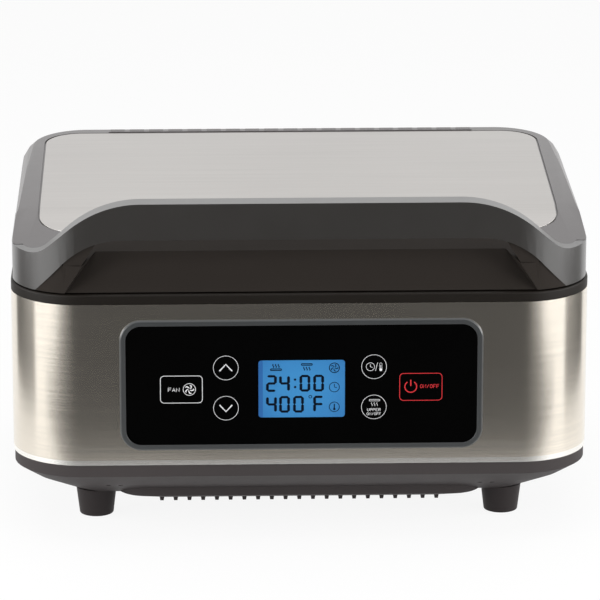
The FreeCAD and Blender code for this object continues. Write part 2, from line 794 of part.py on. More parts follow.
def make_well_liner():
    body = new_body("well_liner")
    outer = new_sketch(body, "well_outline", "XY_Plane", well_floor)
    add_inset(outer, WELL, g.well_radius)
    pad(body, "well", outer, g.well_height)
    flange = new_sketch(body, "flange_outline", "XY_Plane", ring_top)
    add_inset(flange, WELL, g.well_radius, -g.well_flange)
    pad(body, "flange", flange, 0.8)
    inner = new_sketch(body, "well_hollow_outline", "XY_Plane", well_floor + g.well_sheet)
    add_inset(inner, WELL, g.well_radius, g.well_sheet)
    pocket(body, "well_hollow", inner, g.well_height + 5)
    rests = new_sketch(body, "rests_plan", "XY_Plane", g.plate_rest)
    for sx in (-1, 1):
        for sy in (-1, 1):
            near, far = in_order(sx * (g.well_half_width - 14), sx * (g.well_half_width - 0.6))
            add_rectangle(rests, near, far, sy * 74.0 - 9, sy * 74.0 + 9)
    pad(body, "plate_rests", rests, 3.0, towards=-1)
    tray = new_sketch(body, "tray_slot_outline", "XZ_Plane", g.well_half_depth + 1)
    reach = g.tray_half_width + 3
    add_rectangle(tray, -reach, reach, well_floor + g.well_sheet, tray_high + 1.5)
    for x in ELEMENT_END_X:
        add_circle(tray, (x, g.lower_element_height), g.element_radius + 0.4)
    pocket(body, "back_openings_well", tray, 6.0, towards=-1)
    intake = new_sketch(body, "intake_outline", "YZ_Plane")
    for y in INTAKE_Y:
        add_rectangle(intake, y - 3, y + 3, INTAKE_LOW, INTAKE_HIGH)
    pocket(body, "intakes", intake)
    probe = new_sketch(body, "probe_hole_outline", "YZ_Plane", g.well_half_width + 1)
    add_circle(probe, (PROBE_Y, g.plate_rest - 3.3), 3.2)
    pocket(body, "probe_hole", probe, 4.0, towards=-1)
    keep(body, "well_liner")


def make_grill_plate():
    """Cast plate with tapered ridges, grease slots between them and a raised rim."""
    body = new_body("grill_plate")
    top = g.plate_rest + g.plate_height
    sections = []
    for index, (level, step) in enumerate(((g.plate_rest, 6.0), (top, 0.0))):
        sketch = new_sketch(body, f"plate_outline_{index}", "XY_Plane", level)
        add_inset(sketch, PLATE, 22.0, step)
        sections.append(sketch)
    loft(body, "plate_block", sections)
    sections = []
    floor = g.plate_rest + g.plate_floor
    for index, (level, step) in enumerate(((floor, 9.0), (top, 3.0))):
        sketch = new_sketch(body, f"plate_hollow_{index}", "XY_Plane", level)
        add_inset(sketch, PLATE, 22.0, step)
        sections.append(sketch)
    loft(body, "plate_hollow", sections, cut=True)
    first_x = (g.ridge_count - 1) * g.ridge_pitch / -2
    section = new_sketch(body, "ridge_section", "XZ_Plane")
    add_polygon(section, [
        (first_x - g.ridge_base / 2, floor - 0.5), (first_x + g.ridge_base / 2, floor - 0.5),
        (first_x + g.ridge_crest / 2, floor + g.ridge_height),
        (first_x - g.ridge_crest / 2, floor + g.ridge_height),
    ])
    ridge = pad(body, "ridge", section, 2 * (g.plate_half_depth - 16), middle=True)
    repeat_row(body, "ridges", ridge, "X_Axis", (g.ridge_count - 1) * g.ridge_pitch, g.ridge_count)
    slot = new_sketch(body, "grease_slot_plan", "XY_Plane", g.plate_rest - 1)
    slot_x = first_x + g.ridge_pitch / 2
    for row in (-1, 0, 1):
        middle_y = row * (g.grease_slot_length + 16)
        add_rectangle(slot, slot_x - g.grease_slot_width / 2, slot_x + g.grease_slot_width / 2,
                      middle_y - g.grease_slot_length / 2, middle_y + g.grease_slot_length / 2)
    first = pocket(body, "grease_slot", slot, g.plate_floor + 2)
    slot_count = g.ridge_count - 1
    repeat_row(body, "grease_slots", first, "X_Axis", (slot_count - 1) * g.ridge_pitch, slot_count)
    lugs = new_sketch(body, "lug_plan", "XY_Plane", top)
    for side in (-1, 1):
        near, far = in_order(side * (g.plate_half_width - 2), side * (g.well_half_width - 2))
        add_rectangle(lugs, near, far, -30.0, 30.0)
    pad(body, "lugs", lugs, 4.0, towards=-1)
    keep(body, "grill_plate")


def element_body(node, height, exit_y):
    """Bent tube: rows of straight legs joined by half turns, with both ends leaving at the back."""
    rows = 4
    start_x = as_size(ELEMENT_END_X[0])
    end_gap = ELEMENT_END_X[1] - ELEMENT_END_X[0]
    body = new_body(node)
    r = g.element_turn
    path = new_sketch(body, node + "_path", "XY_Plane", height)
    row_y = [as_size(index * 2 - (rows - 1)) * r for index in range(rows)]
    right = as_size(140.0)
    left = start_x + end_gap + r
    steps = [((start_x, row_y[0] + r),), ((start_x + r, row_y[0]), (start_x + r, row_y[0] + r), 1)]
    for index in range(rows):
        y = row_y[index]
        going_right = index % 2 == 0
        x = right if going_right else left
        if index == rows - 1:
            steps.append(((left, y),))
            steps.append(((left - r, y + r), (left, y + r), -1))
            steps.append(((left - r, exit_y),))
        else:
            steps.append(((x, y),))
            steps.append(((x, row_y[index + 1]), (x, y + r), 1 if going_right else -1))
    add_path(path, (start_x, exit_y), steps)
    section = new_sketch(body, node + "_section", "XZ_Plane", exit_y)
    add_circle(section, (start_x, height), g.element_radius)
    pipe = body.newObject("PartDesign::AdditivePipe", node + "_tube")
    pipe.Profile = section
    pipe.Spine = path
    pipe.Mode = "Standard"
    return body


def make_elements():
    lower = element_body("lower_element", g.lower_element_height, g.well_half_depth + 14)
    keep(lower, "lower_element")
    upper = element_body("upper_element", g.upper_element_height, g.liner_back + 12)
    keep(upper, "upper_element")


def strip_body(node, top, wall_y_low, wall_y_high, rise):
    """Flat strip across the well or the liner with an upturned tab at each end."""
    body = box_body(node, -5.0, 5.0, wall_y_low, wall_y_high, top - 1.5, top)
    tabs = new_sketch(body, node + "_tabs_plan", "XY_Plane", top)
    add_rectangle(tabs, -5.0, 5.0, wall_y_low, wall_y_low + 1.5)
    add_rectangle(tabs, -5.0, 5.0, wall_y_high - 1.5, wall_y_high)
    pad(body, node + "_tabs", tabs, rise)
    return body


def make_element_strips():
    y = g.well_half_depth - g.well_sheet - 0.2
    for side, x in (("left", -70.0), ("right", 70.0)):
        node = f"lower_element_strip_{side}"
        keep(strip_body(node, g.lower_element_height - g.element_radius - 0.2, -y, y, 9.0), node, x)
        node = f"upper_element_strip_{side}"
        low = -(g.liner_front - g.liner_sheet - 0.2)
        high = g.liner_back - g.liner_sheet - 0.2
        top = g.upper_element_height - g.element_radius - 0.2
        rise = g.liner_roof - g.liner_sheet - 0.2 - top
        keep(strip_body(node, top, low, high, rise), node, x)


# Drip tray and its runners

def make_drip_tray():
    """Shallow tray that slides out at the back on its plate and pull."""
    body = new_body("drip_tray")
    plan = new_sketch(body, "tray_outline", "XY_Plane", tray_low)
    front = -(g.well_half_depth - 8)
    back = half_d - 2
    frame = (-g.tray_half_width, g.tray_half_width, front, back)
    add_inset(plan, frame, 8.0)
    pad(body, "tray_block", plan, g.tray_height)
    hollow = new_sketch(body, "tray_hollow_outline", "XY_Plane", tray_low + g.tray_wall)
    add_inset(hollow, frame, 8.0, g.tray_wall)
    pocket(body, "tray_hollow", hollow, g.tray_height)
    plate = new_sketch(body, "tray_plate_outline", "XZ_Plane", half_d - 3)
    reach = g.tray_half_width - 3
    add_rectangle(plate, -reach, reach, tray_low + 1, tray_high - 1)
    pad(body, "tray_neck", plate, 4.0)
    plate = new_sketch(body, "tray_front_outline", "XZ_Plane", half_d + g.seat_gap)
    reach = g.tray_half_width + 9
    add_rounded(plate, -reach, reach, tray_low - 5.5, tray_high + 5.5, 6.0)
    pad(body, "tray_plate", plate, 3.0)
    pull = new_sketch(body, "tray_pull_outline", "YZ_Plane")
    y = half_d + 2
    add_polygon(pull, [
        (y, tray_high - 3), (y, tray_high - 7), (y + 13, tray_high - 10), (y + 13, tray_high - 5),
    ])
    pad(body, "tray_pull", pull, 2 * g.tray_pull_half_width, middle=True)
    keep(body, "drip_tray")


def make_tray_runners():
    floor = well_floor + g.well_sheet
    for side, sign in (("left", -1), ("right", 1)):
        node = f"tray_runner_{side}"
        front = -(g.well_half_depth - 6)
        back = half_d - g.sheet_wall - 0.3
        outer = sign * (g.tray_half_width + 2.4)
        low_x, high_x = in_order(sign * (g.tray_half_width - 8), outer)
        body = box_body(node, low_x, high_x, front, back, floor, tray_low - 0.3)
        rail = new_sketch(body, node + "_web_plan", "XY_Plane", floor)
        low_x, high_x = in_order(sign * (g.tray_half_width + 0.8), outer)
        add_rectangle(rail, low_x, high_x, front, back)
        pad(body, node + "_web", rail, 16.0)
        keep(body, node)


def make_grease_filters():
    """Slotted steel filters in front of the smoke intakes of the well."""
    for side, sign in (("left", -1), ("right", 1)):
        node = f"grease_filter_{side}"
        wall = g.well_half_width - g.well_sheet - 0.3
        low_x, high_x = in_order(sign * wall, sign * (wall - 3))
        body = box_body(node, low_x, high_x, -44.0, 44.0, INTAKE_LOW - 4, INTAKE_HIGH - 0.5)
        slots = new_sketch(body, node + "_slots", "YZ_Plane")
        add_rectangle(slots, -40.0, -36.5, INTAKE_LOW, INTAKE_HIGH - 4)
        first = pocket(body, node + "_slot", slots)
        repeat_row(body, node + "_slot_row", first, "Y_Axis", 73.0, 11)
        keep(body, node)


# Smoke path below the well

def make_smoke_duct():
    """Flat duct that joins both side intakes to the fan below the middle of the well."""
    body = new_body("smoke_duct")
    low = g.duct_floor
    mid = low + g.duct_height
    high = INTAKE_HIGH + 4
    near = g.well_half_width + g.seat_gap
    far = g.duct_reach
    section = new_sketch(body, "duct_section", "XZ_Plane")
    add_polygon(section, [
        (-far, low), (far, low), (far, high), (near, high), (near, mid), (-near, mid), (-near, high),
        (-far, high),
    ])
    pad(body, "duct_block", section, 2 * g.duct_half_length, middle=True)
    wall = g.duct_wall
    hollow = new_sketch(body, "duct_hollow_section", "XZ_Plane")
    add_polygon(hollow, [
        (wall - far, low + wall), (far - wall, low + wall),
        (far - wall, high - wall), (near + wall, high - wall),
        (near + wall, mid - wall), (-near - wall, mid - wall),
        (-near - wall, high - wall), (wall - far, high - wall),
    ])
    pocket(body, "duct_hollow", hollow, 2 * (g.duct_half_length - wall), middle=True)
    mouth = new_sketch(body, "duct_mouth_outline", "YZ_Plane")
    add_rectangle(mouth, 4 - g.duct_half_length, g.duct_half_length - 4, INTAKE_LOW, INTAKE_HIGH)
    pocket(body, "duct_mouths", mouth, 2 * (near + wall + 1), middle=True)
    outlet = new_sketch(body, "duct_outlet_plan", "XY_Plane", low - 1)
    add_circle(outlet, (0, 0), g.fan_inlet_radius + 2 + g.seat_gap)
    pocket(body, "duct_outlet", outlet, wall + 2)
    keep(body, "smoke_duct")


IMPELLER_LOW = shell_z - 3
MOTOR_LOW = belly_floor + 6


def make_fan():
    """Bell mouth, curved-blade impeller on its shaft, motor with two bushes, and the motor's bracket."""
    inlet = g.fan_inlet_radius
    plate = g.duct_floor - 4
    rim = g.fan_radius + 10
    shroud = disc_body("fan_shroud", [
        (inlet, plate), (rim, plate), (rim, plate - 8), (rim + 2, plate - 8), (rim + 2, plate + 2),
        (inlet + 4, plate + 2), (inlet + 2, g.duct_floor - 0.3), (inlet + 2, g.duct_floor + g.duct_wall),
        (inlet, g.duct_floor + g.duct_wall),
    ])
    leg = new_sketch(shroud, "shroud_leg_plan", "XY_Plane", belly_floor)
    diagonal = (rim + 1) * 0.7071
    add_rectangle(leg, diagonal - 3, diagonal + 3, diagonal - 3, diagonal + 3)
    first = pad(shroud, "shroud_leg", leg, plate - 6 - belly_floor)
    repeat_round(shroud, "shroud_legs", first, 4)
    keep(shroud, "fan_shroud")

    low = IMPELLER_LOW
    bore = g.shaft_radius + 0.02
    fan = disc_body("fan_impeller", [
        (bore, low), (g.fan_radius, low), (g.fan_radius, low + 1.5), (20.0, low + 1.5), (9.0, low + 8),
        (9.0, low + g.blade_height), (bore, low + g.blade_height),
    ])
    blade = new_sketch(fan, "blade_section", "XY_Plane", low + 1.0)
    add_blade(blade)
    first = pad(fan, "blade", blade, g.blade_height - 1)
    repeat_round(fan, "blades", first, g.blade_count)
    band = new_sketch(fan, "impeller_band_plan", "XY_Plane", low + g.blade_height - 3)
    add_circle(band, (0, 0), g.fan_radius + 1)
    add_circle(band, (0, 0), g.fan_radius - 3)
    pad(fan, "impeller_band", band, 3.0)
    keep(fan, "fan_impeller")

    shaft_top = low + g.blade_height + 3
    shaft = disc_body("motor_shaft", [
        (0.0, MOTOR_LOW + 3), (g.shaft_radius, MOTOR_LOW + 3), (g.shaft_radius, shaft_top - 1),
        (g.shaft_radius - 1, shaft_top), (0.0, shaft_top),
    ])
    keep(shaft, "motor_shaft")
    bush = g.shaft_radius + 1.6
    r = g.motor_radius
    can_low = MOTOR_LOW + 2
    can_high = MOTOR_LOW + 27
    motor_top = MOTOR_LOW + 31
    motor = disc_body("fan_motor", [
        (bush, MOTOR_LOW), (10.0, MOTOR_LOW), (10.0, can_low), (r - 3, can_low), (r, can_low + 3),
        (r, can_high - 3), (r - 3, can_high), (12.0, can_high), (12.0, motor_top), (bush, motor_top),
    ])
    keep(motor, "fan_motor")
    for place, z in (("lower", MOTOR_LOW + 2.5), ("upper", MOTOR_LOW + 24)):
        node = f"shaft_bush_{place}"
        bore = g.shaft_radius + g.running_gap
        piece = disc_body(node, [(bore, z), (bush - 0.02, z), (bush - 0.02, z + 6), (bore, z + 6)])
        keep(piece, node)
    strap = MOTOR_LOW - 2.2
    bracket = box_body("motor_bracket", -46.0, 46.0, -15.0, 15.0, strap, strap + 2)
    legs = new_sketch(bracket, "bracket_legs_plan", "XY_Plane", belly_floor)
    for sx in (-1, 1):
        add_rectangle(legs, as_size(sx * 41.0 - 5), as_size(sx * 41.0 + 5), -15.0, 15.0)
    pad(bracket, "bracket_legs", legs, strap + 2 - belly_floor)
    keep(bracket, "motor_bracket")


def add_blade(sketch):
    """Draw one blade: two arcs about one centre, cut off at the inner and the outer radius."""
    inner = g.blade_inner_radius.value
    outer = (g.fan_radius - 1).value
    curve = g.blade_curve.value
    centre = Vector(inner + 7, curve - 5, 0)
    ends = {}
    for radius in (curve, curve + g.blade_wall.value):
        for ring in (inner, outer):
            ends[(radius, ring)] = meeting_point(centre, radius, ring)
    index = []
    for radius in (curve, curve + g.blade_wall.value):
        start, end = ends[(radius, inner)], ends[(radius, outer)]
        angles = [math.atan2(spot.y - centre.y, spot.x - centre.x) for spot in (start, end)]
        arc = Part.ArcOfCircle(Part.Circle(centre, Vector(0, 0, 1), radius), angles[0], angles[1])
        index.append(sketch.addGeometry(arc, False))
    for end in (1, 2):
        a = sketch.getPoint(index[0], end)
        b = sketch.getPoint(index[1], end)
        line = sketch.addGeometry(Part.LineSegment(a, b), False)
        sketch.addConstraint(Sketcher.Constraint("Coincident", line, 1, index[0], end))
        sketch.addConstraint(Sketcher.Constraint("Coincident", line, 2, index[1], end))
    sketch.addConstraint(Sketcher.Constraint("Coincident", index[0], 3, index[1], 3))
    fix_point(sketch, index[0], 3, (g.blade_inner_radius + 7, g.blade_curve - 5))
    held = []
    for arc, radius in zip(index, (g.blade_curve, g.blade_curve + g.blade_wall)):
        held.append((Sketcher.Constraint("Radius", arc, radius.value), radius))
        held.append((Sketcher.Constraint("Distance", -1, 1, arc, 1, inner), g.blade_inner_radius))
        held.append((Sketcher.Constraint("Distance", -1, 1, arc, 2, outer), g.fan_radius - 1))
    for constraint, number in held:
        place = sketch.addConstraint(constraint)
        bind(sketch, f"Constraints[{place}]", number)


def meeting_point(centre, radius, ring):
    """The point at distance ring from the middle and radius from the centre, on the side of the X axis."""
    gap = centre.Length
    along = (ring * ring - radius * radius + gap * gap) / (2 * gap)
    across = math.sqrt(ring * ring - along * along)
    unit = Vector(centre).normalize()
    side = Vector(unit.y, -unit.x, 0)
    return unit * along + side * across


# Control panel

def panel_outline(body, name, step, level):
    """Rounded outline of the panel, moved inwards by step."""
    sketch = new_sketch(body, name, "XZ_Plane", level)
    add_inset(sketch, PANEL, g.panel_radius, step)
    return sketch


def make_panel():
    body = new_body("panel_bezel")
    face = -half_d - g.panel_proud
    outline = panel_outline(body, "bezel_outline", 0, -half_d)
    pad(body, "bezel_flange", outline, g.panel_proud, towards=-1)
    sleeve = panel_outline(body, "sleeve_outline", g.bezel_frame - 2, -half_d)
    pad(body, "bezel_sleeve", sleeve, 7.0)
    soften(body, "bezel_edge", 1.2, lambda edge: on_level(edge, 1, face), "Chamfer")
    glass_step = g.bezel_frame - g.seat_gap
    seat = panel_outline(body, "glass_seat_outline", glass_step, face - 1)
    pocket(body, "glass_seat", seat, 1 + 0.5 + g.glass_thickness + g.seat_gap)
    through = panel_outline(body, "bezel_window_outline", g.bezel_frame + 3, face - 1)
    pocket(body, "bezel_window", through)
    keep(body, "panel_bezel")

    glass = new_body("panel_glass")
    outline = panel_outline(glass, "glass_outline", g.bezel_frame, face + 0.5)
    pad(glass, "glass_sheet", outline, g.glass_thickness)
    keep(glass, "panel_glass")
    glass_back = face + 0.5 + g.glass_thickness

    carrier = new_body("panel_carrier")
    front = glass_back + 0.3
    outer = panel_outline(carrier, "carrier_outline", g.bezel_frame + 3.3, front)
    pad(carrier, "carrier_block", outer, 20.0)
    hollow = panel_outline(carrier, "carrier_hollow_outline", g.bezel_frame + 5.3, front)
    pocket(carrier, "carrier_hollow", hollow, 18.0)
    posts = new_sketch(carrier, "carrier_posts_plan", "XZ_Plane", front + 19)
    for x in (-68.0, 68.0):
        for rise in (-37.0, 37.0):
            add_circle(posts, (x, g.panel_height + rise), 3.5)
    pad(carrier, "carrier_posts", posts, 11.0)
    ledges = new_sketch(carrier, "carrier_ledges_plan", "XZ_Plane", front + 2.5)
    for x in (-124.0, -52.0, 52.0, 124.0):
        add_circle(ledges, (x, g.panel_height), 4.0)
    pad(carrier, "carrier_ledges", ledges, 16.0)
    keep(carrier, "panel_carrier")

    board = new_body("touch_board")
    plan = new_sketch(board, "touch_board_outline", "XZ_Plane", front + 0.7)
    add_rectangle(plan, -131.0, 131.0, g.panel_height - 41, g.panel_height + 41)
    left, right, low, high = DISPLAY
    add_rectangle(plan, left - 4, right + 4, low - 4, high + 4)
    pad(board, "touch_board_sheet", plan, 1.6)
    keep(board, "touch_board")

    display = new_body("display_module")
    plan = new_sketch(display, "display_outline", "XZ_Plane", glass_back + 0.1)
    add_rectangle(plan, left - 3.6, right + 3.6, low - 3.6, high + 3.6)
    pad(display, "display_block", plan, 7.0)
    keep(display, "display_module")

    power = new_body("power_board")
    plan = new_sketch(power, "power_board_outline", "XZ_Plane", front + 30.3)
    add_rectangle(plan, -75.0, 75.0, g.panel_height - 43, g.panel_height + 43)
    pad(power, "power_board_sheet", plan, 1.6)
    blocks = (
        ("transformer", -60.0, -26.0, -35.5, -7.5, 11.0),
        ("relay_left", -14.0, 6.0, -33.5, -15.5, 11.5),
        ("relay_right", 14.0, 34.0, -33.5, -15.5, 11.5),
        ("heat_sink", 44.0, 62.0, -35.5, 18.5, 10.0),
    )
    for name, x0, x1, z0, z1, tall in blocks:
        block = new_sketch(power, name + "_plan", "XZ_Plane", front + 31.4)
        add_rectangle(block, x0, x1, g.panel_height + z0, g.panel_height + z1)
        pad(power, name, block, tall)
    caps = new_sketch(power, "capacitors_plan", "XZ_Plane", front + 31.4)
    for x in (-48.0, -30.0):
        add_circle(caps, (x, g.panel_height + 14.5), 6.5)
    pad(power, "capacitors", caps, 10.5)
    keep(power, "power_board")


# Small inner parts and the back of the body

def make_sensors():
    probe = disc_body("temperature_probe", [
        (0.0, -34.0), (2.0, -34.0), (3.0, -33.0), (3.0, 0.3), (5.5, 0.3), (5.5, 4.0), (3.0, 4.0), (3.0, 8.0),
        (0.0, 8.0),
    ])
    probe.Placement = Placement(Vector(0, 0, 0), Rotation(Vector(0, 1, 0), 90))
    keep(probe, "temperature_probe", g.well_half_width, PROBE_Y, g.plate_rest - 3.3)
    cutout = disc_body("thermal_cutout", [
        (0.0, 0.3), (11.0, 0.3), (11.0, 1.3), (8.0, 1.3), (8.0, 8.0), (0.0, 8.0),
    ])
    cutout.Placement = Placement(Vector(0, 0, 0), Rotation(Vector(1, 0, 0), 90))
    keep(cutout, "thermal_cutout", -110.0, -g.well_half_depth, well_floor + 22)


def make_back_parts():
    gland = disc_body("cord_gland", [
        (g.gland_bore, -12.0), (g.gland_sleeve, -12.0), (g.gland_sleeve, 0.0), (11.0, 0.0), (11.0, 2.5),
        (8.2, 2.5), (6.6, 12.0), (g.gland_bore, 12.0),
    ])
    gland.Placement = Placement(Vector(0, 0, 0), Rotation(Vector(1, 0, 0), -90))
    keep(gland, "cord_gland", g.gland_x, half_d, g.gland_height)

    grille = new_body("rear_vent_grille")
    outline = new_sketch(grille, "grille_outline", "XZ_Plane", half_d)
    add_rounded(outline, -72.0, 72.0, shell_z + 10, shell_z + 48, 5.0)
    pad(grille, "grille_plate", outline, 2.5)
    soften(grille, "grille_edge", 0.8, lambda edge: on_level(edge, 1, half_d + 2.5), "Chamfer")
    slots = new_sketch(grille, "grille_slot_outline", "XZ_Plane", half_d - 1)
    for x in (-62.0, 4.0):
        add_rectangle(slots, x, x + 58, shell_z + 15, shell_z + 18)
    first = pocket(grille, "grille_slot", slots)
    repeat_row(grille, "grille_slots", first, "Z_Axis", 25.0, 6)
    keep(grille, "rear_vent_grille")


# Hinge: two brackets on the body, two arms on the lid, two pins

def make_hinges():
    for side, sign in (("left", -1), ("right", 1)):
        x = sign * g.hinge_x
        outer_half = g.knuckle_half_width + 0.3 + g.ear_width
        bracket = new_body(f"hinge_bracket_{side}")
        ear = new_sketch(bracket, f"ear_outline_{side}", "YZ_Plane")
        add_polygon(ear, [
            (half_d, pivot_z - 38), (half_d + 3, pivot_z - 38), (pivot_y + 6, pivot_z - 5),
            (pivot_y, pivot_z), (pivot_y - 5, pivot_z + 6), (half_d + 0.8, pivot_z - 7),
            (half_d, pivot_z - 9),
        ])
        pad(bracket, f"ear_web_{side}", ear, 2 * outer_half, middle=True)
        boss = new_sketch(bracket, f"ear_boss_{side}", "YZ_Plane")
        add_circle(boss, (pivot_y, pivot_z), g.knuckle_radius)
        pad(bracket, f"ear_round_{side}", boss, 2 * outer_half, middle=True)
        gap = new_sketch(bracket, f"ear_gap_{side}", "YZ_Plane")
        add_polygon(gap, [
            (half_d + 3, pivot_z - 60), (half_d + 40, pivot_z - 60), (half_d + 40, pivot_z + 20),
            (half_d - 1, pivot_z + 20), (half_d - 1, pivot_z - 9), (half_d + 3, pivot_z - 9),
        ])
        pocket(bracket, f"ear_space_{side}", gap, 2 * (g.knuckle_half_width + 0.3), middle=True)
        bore = new_sketch(bracket, f"ear_bore_{side}", "YZ_Plane")
        add_circle(bore, (pivot_y, pivot_z), g.pin_radius + g.running_gap)
        pocket(bracket, f"ear_bores_{side}", bore)
        keep(bracket, f"hinge_bracket_{side}", x)

        arm = new_body(f"hinge_arm_{side}")
        web = new_sketch(arm, f"arm_outline_{side}", "YZ_Plane")
        back = half_d - g.lid_side_inset + 0.2
        add_polygon(web, [
            (back, pivot_z + 3), (pivot_y - 7, pivot_z + 2), (pivot_y, pivot_z), (pivot_y + 7, pivot_z + 3),
            (back + 4, pivot_z + 31), (back - 1, pivot_z + 31),
        ])
        pad(arm, f"arm_web_{side}", web, 2 * g.knuckle_half_width, middle=True)
        round_end = new_sketch(arm, f"arm_knuckle_{side}", "YZ_Plane")
        add_circle(round_end, (pivot_y, pivot_z), g.knuckle_radius)
        pad(arm, f"arm_round_{side}", round_end, 2 * g.knuckle_half_width, middle=True)
        bore = new_sketch(arm, f"arm_bore_{side}", "YZ_Plane")
        add_circle(bore, (pivot_y, pivot_z), g.pin_radius + g.running_gap)
        pocket(arm, f"arm_bores_{side}", bore)
        keep(arm, f"hinge_arm_{side}", x)

        reach = outer_half + 1
        head = g.pin_radius + 2
        pin = disc_body(f"hinge_pin_{side}", [
            (0.0, -reach - 1.5), (head - 0.6, -reach - 1.5), (head, -reach - 0.9), (head, -outer_half - 0.2),
            (g.pin_radius, -outer_half - 0.2), (g.pin_radius, reach), (0.0, reach),
        ])
        pin.Placement = Placement(Vector(0, 0, 0), Rotation(Vector(0, 1, 0), 90))
        keep(pin, f"hinge_pin_{side}", x, pivot_y, pivot_z)


# Lid frame: a moulding that follows the body's outline, with a sloped shoulder, a falling front
# and a finger recess below the handle

lid_front = -half_d
crease_y = lid_front + g.lid_crease_depth
ridge_y = lid_front + g.lid_ridge_depth
recess_foot_y = lid_front + g.recess_foot_depth
front_rise = (g.lid_ridge_height - g.lid_crease_height) / (g.lid_ridge_depth - g.lid_crease_depth)
back_rise = (g.lid_back_height - g.lid_ridge_height) / (g.body_depth - g.lid_ridge_depth)


def lid_block(label, inset, drop):
    """The lid's outer form, or the same form moved inwards by inset and down by drop."""
    body = new_body(label)
    levels = [
        (lid_z - drop * 2, g.lid_side_inset, 0.0),
        (lid_z + 31, g.lid_side_inset + 1, 0.0),
        (g.lid_ridge_height - 3, g.lid_side_inset + 2.5, 1.0),
        (g.lid_ridge_height + 4, g.lid_side_inset + 7, 4.0),
        (g.lid_ridge_height + 12, g.lid_side_inset + 18, 11.0),
    ]
    sketches = []
    for index, (level, step, back_shift) in enumerate(levels):
        sketch = new_sketch(body, f"{label}_outline_{index}", "XY_Plane", level)
        total = step + inset
        left, right, low, high = BODY
        add_inset(sketch, (left, right, low + back_shift, high + back_shift), g.corner_radius, total)
        sketches.append(sketch)
    loft(body, f"{label}_loft", sketches)
    top = new_sketch(body, f"{label}_top_line", "YZ_Plane")
    fall = lid_front - 40
    high = g.lid_back_height + 60
    add_polygon(top, [
        (fall, g.lid_crease_height - drop - front_rise * (g.lid_crease_depth + 40)),
        (ridge_y, g.lid_ridge_height - drop),
        (half_d + 40, g.lid_back_height - drop + back_rise * 40),
        (half_d + 40, high), (fall, high),
    ])
    pocket(body, f"{label}_top_cut", top)
    return body


def recess_block(label, grow):
    """The finger recess below the bar: a wedge that widens downwards, or the same wedge grown by a wall."""
    body = new_body(label)
    slope_low = (g.recess_low_half_width, lid_z - 20)
    spread = (g.recess_low_half_width - g.recess_high_half_width) / (g.recess_high_height - lid_z)
    low_half = slope_low[0] + spread * 20 + grow
    high_z = g.recess_high_height + 20
    high_half = g.recess_high_half_width - spread * 20 + grow
    sections = []
    for index, (level, taper) in enumerate(((lid_front - 6, -1.5), (crease_y + 6, 9.0))):
        sketch = new_sketch(body, f"{label}_outline_{index}", "XZ_Plane", level)
        add_polygon(sketch, [(taper - low_half, slope_low[1]), (low_half - taper, slope_low[1]),
                             (high_half - taper, high_z), (taper - high_half, high_z)])
        sections.append(sketch)
    loft(body, f"{label}_loft", sections)
    ramp = new_sketch(body, f"{label}_ramp", "YZ_Plane")
    rise = (g.lid_crease_height - lid_z) / (g.lid_crease_depth - g.recess_foot_depth)
    foot = recess_foot_y + as_size(grow) * 1.36
    top = crease_y + as_size(grow) * 1.36
    behind = crease_y + 20
    add_polygon(ramp, [
        (foot - 20 / rise, lid_z - 20), (top, g.lid_crease_height), (top, high_z + 5),
        (behind, high_z + 5), (behind, lid_z - 25), (foot - 20 / rise, lid_z - 25),
    ])
    pocket(body, f"{label}_ramp_cut", ramp)
    return body


def handle_block(label, grow, wall_grow):
    """The handle's form: an arch seen from the front, cut to a wall that follows the body's outline."""
    body = new_body(label)
    arch = new_sketch(body, f"{label}_arch", "XZ_Plane")
    edge = half_w + 10
    low = lid_z - as_size(grow) * 3
    half_arch = [
        (edge, low), (edge, g.handle_low + grow), (g.handle_top_elbow + grow, g.handle_low + grow),
        (g.handle_top_shoulder + grow, g.handle_high + grow),
    ]
    half_under = [(g.handle_under_shoulder - grow, g.handle_under - grow), (g.handle_under_elbow - grow, low)]
    mirrored_arch = [(-x, z) for x, z in reversed(half_arch)]
    mirrored_under = [(-x, z) for x, z in reversed(half_under)]
    add_polygon(arch, half_arch + mirrored_arch + mirrored_under + half_under)
    pad(body, f"{label}_pad", arch, g.body_depth + 20, middle=True)
    bends = (
        ("shoulders", half_arch[3], 38.0),
        ("elbows", half_arch[2], 33.0),
        ("under", half_under[0], 48.0),
        ("feet", half_under[1], 14.0),
    )
    for name, (x, z), radius in bends:
        places = [(x, z), (-x, z)]
        soften(body, f"{label}_{name}", radius, lambda edge: runs_along(edge, 1) and spot_near(edge, places))
    outer = new_sketch(body, f"{label}_outer_plan", "XY_Plane")
    far = half_w + 60
    add_rounded(outer, -far, far, -far, far, 20.0)
    add_inset(outer, BODY, g.corner_radius, -g.handle_proud)
    pocket(body, f"{label}_outer_cut", outer)
    inner = new_sketch(body, f"{label}_inner_plan", "XY_Plane")
    side = half_w + g.handle_proud - g.handle_side_wall - wall_grow
    bar_back = -half_d - g.handle_proud + g.handle_bar_depth + wall_grow
    add_rounded(inner, -side, side, bar_back, half_d + 60, 38.0)
    pocket(body, f"{label}_inner_cut", inner)
    rear = new_sketch(body, f"{label}_rear_plan", "XY_Plane")
    end = g.handle_side_reach - half_d + wall_grow
    add_rectangle(rear, -far, far, end, half_d + 70)
    pocket(body, f"{label}_rear_cut", rear)
    return body


def lid_sheet(label, top_drop, bottom_drop):
    """The space between two copies of the lid's top line, one lower than the other."""
    body = new_body(label)
    line = new_sketch(body, f"{label}_line", "YZ_Plane")
    crown = [(crease_y, g.lid_crease_height), (ridge_y, g.lid_ridge_height), (half_d, g.lid_back_height)]
    under = [(y, z - bottom_drop) for y, z in crown]
    over = [(y, z - top_drop) for y, z in reversed(crown)]
    add_polygon(line, under + over)
    pad(body, f"{label}_pad", line, g.body_width, middle=True)
    return body


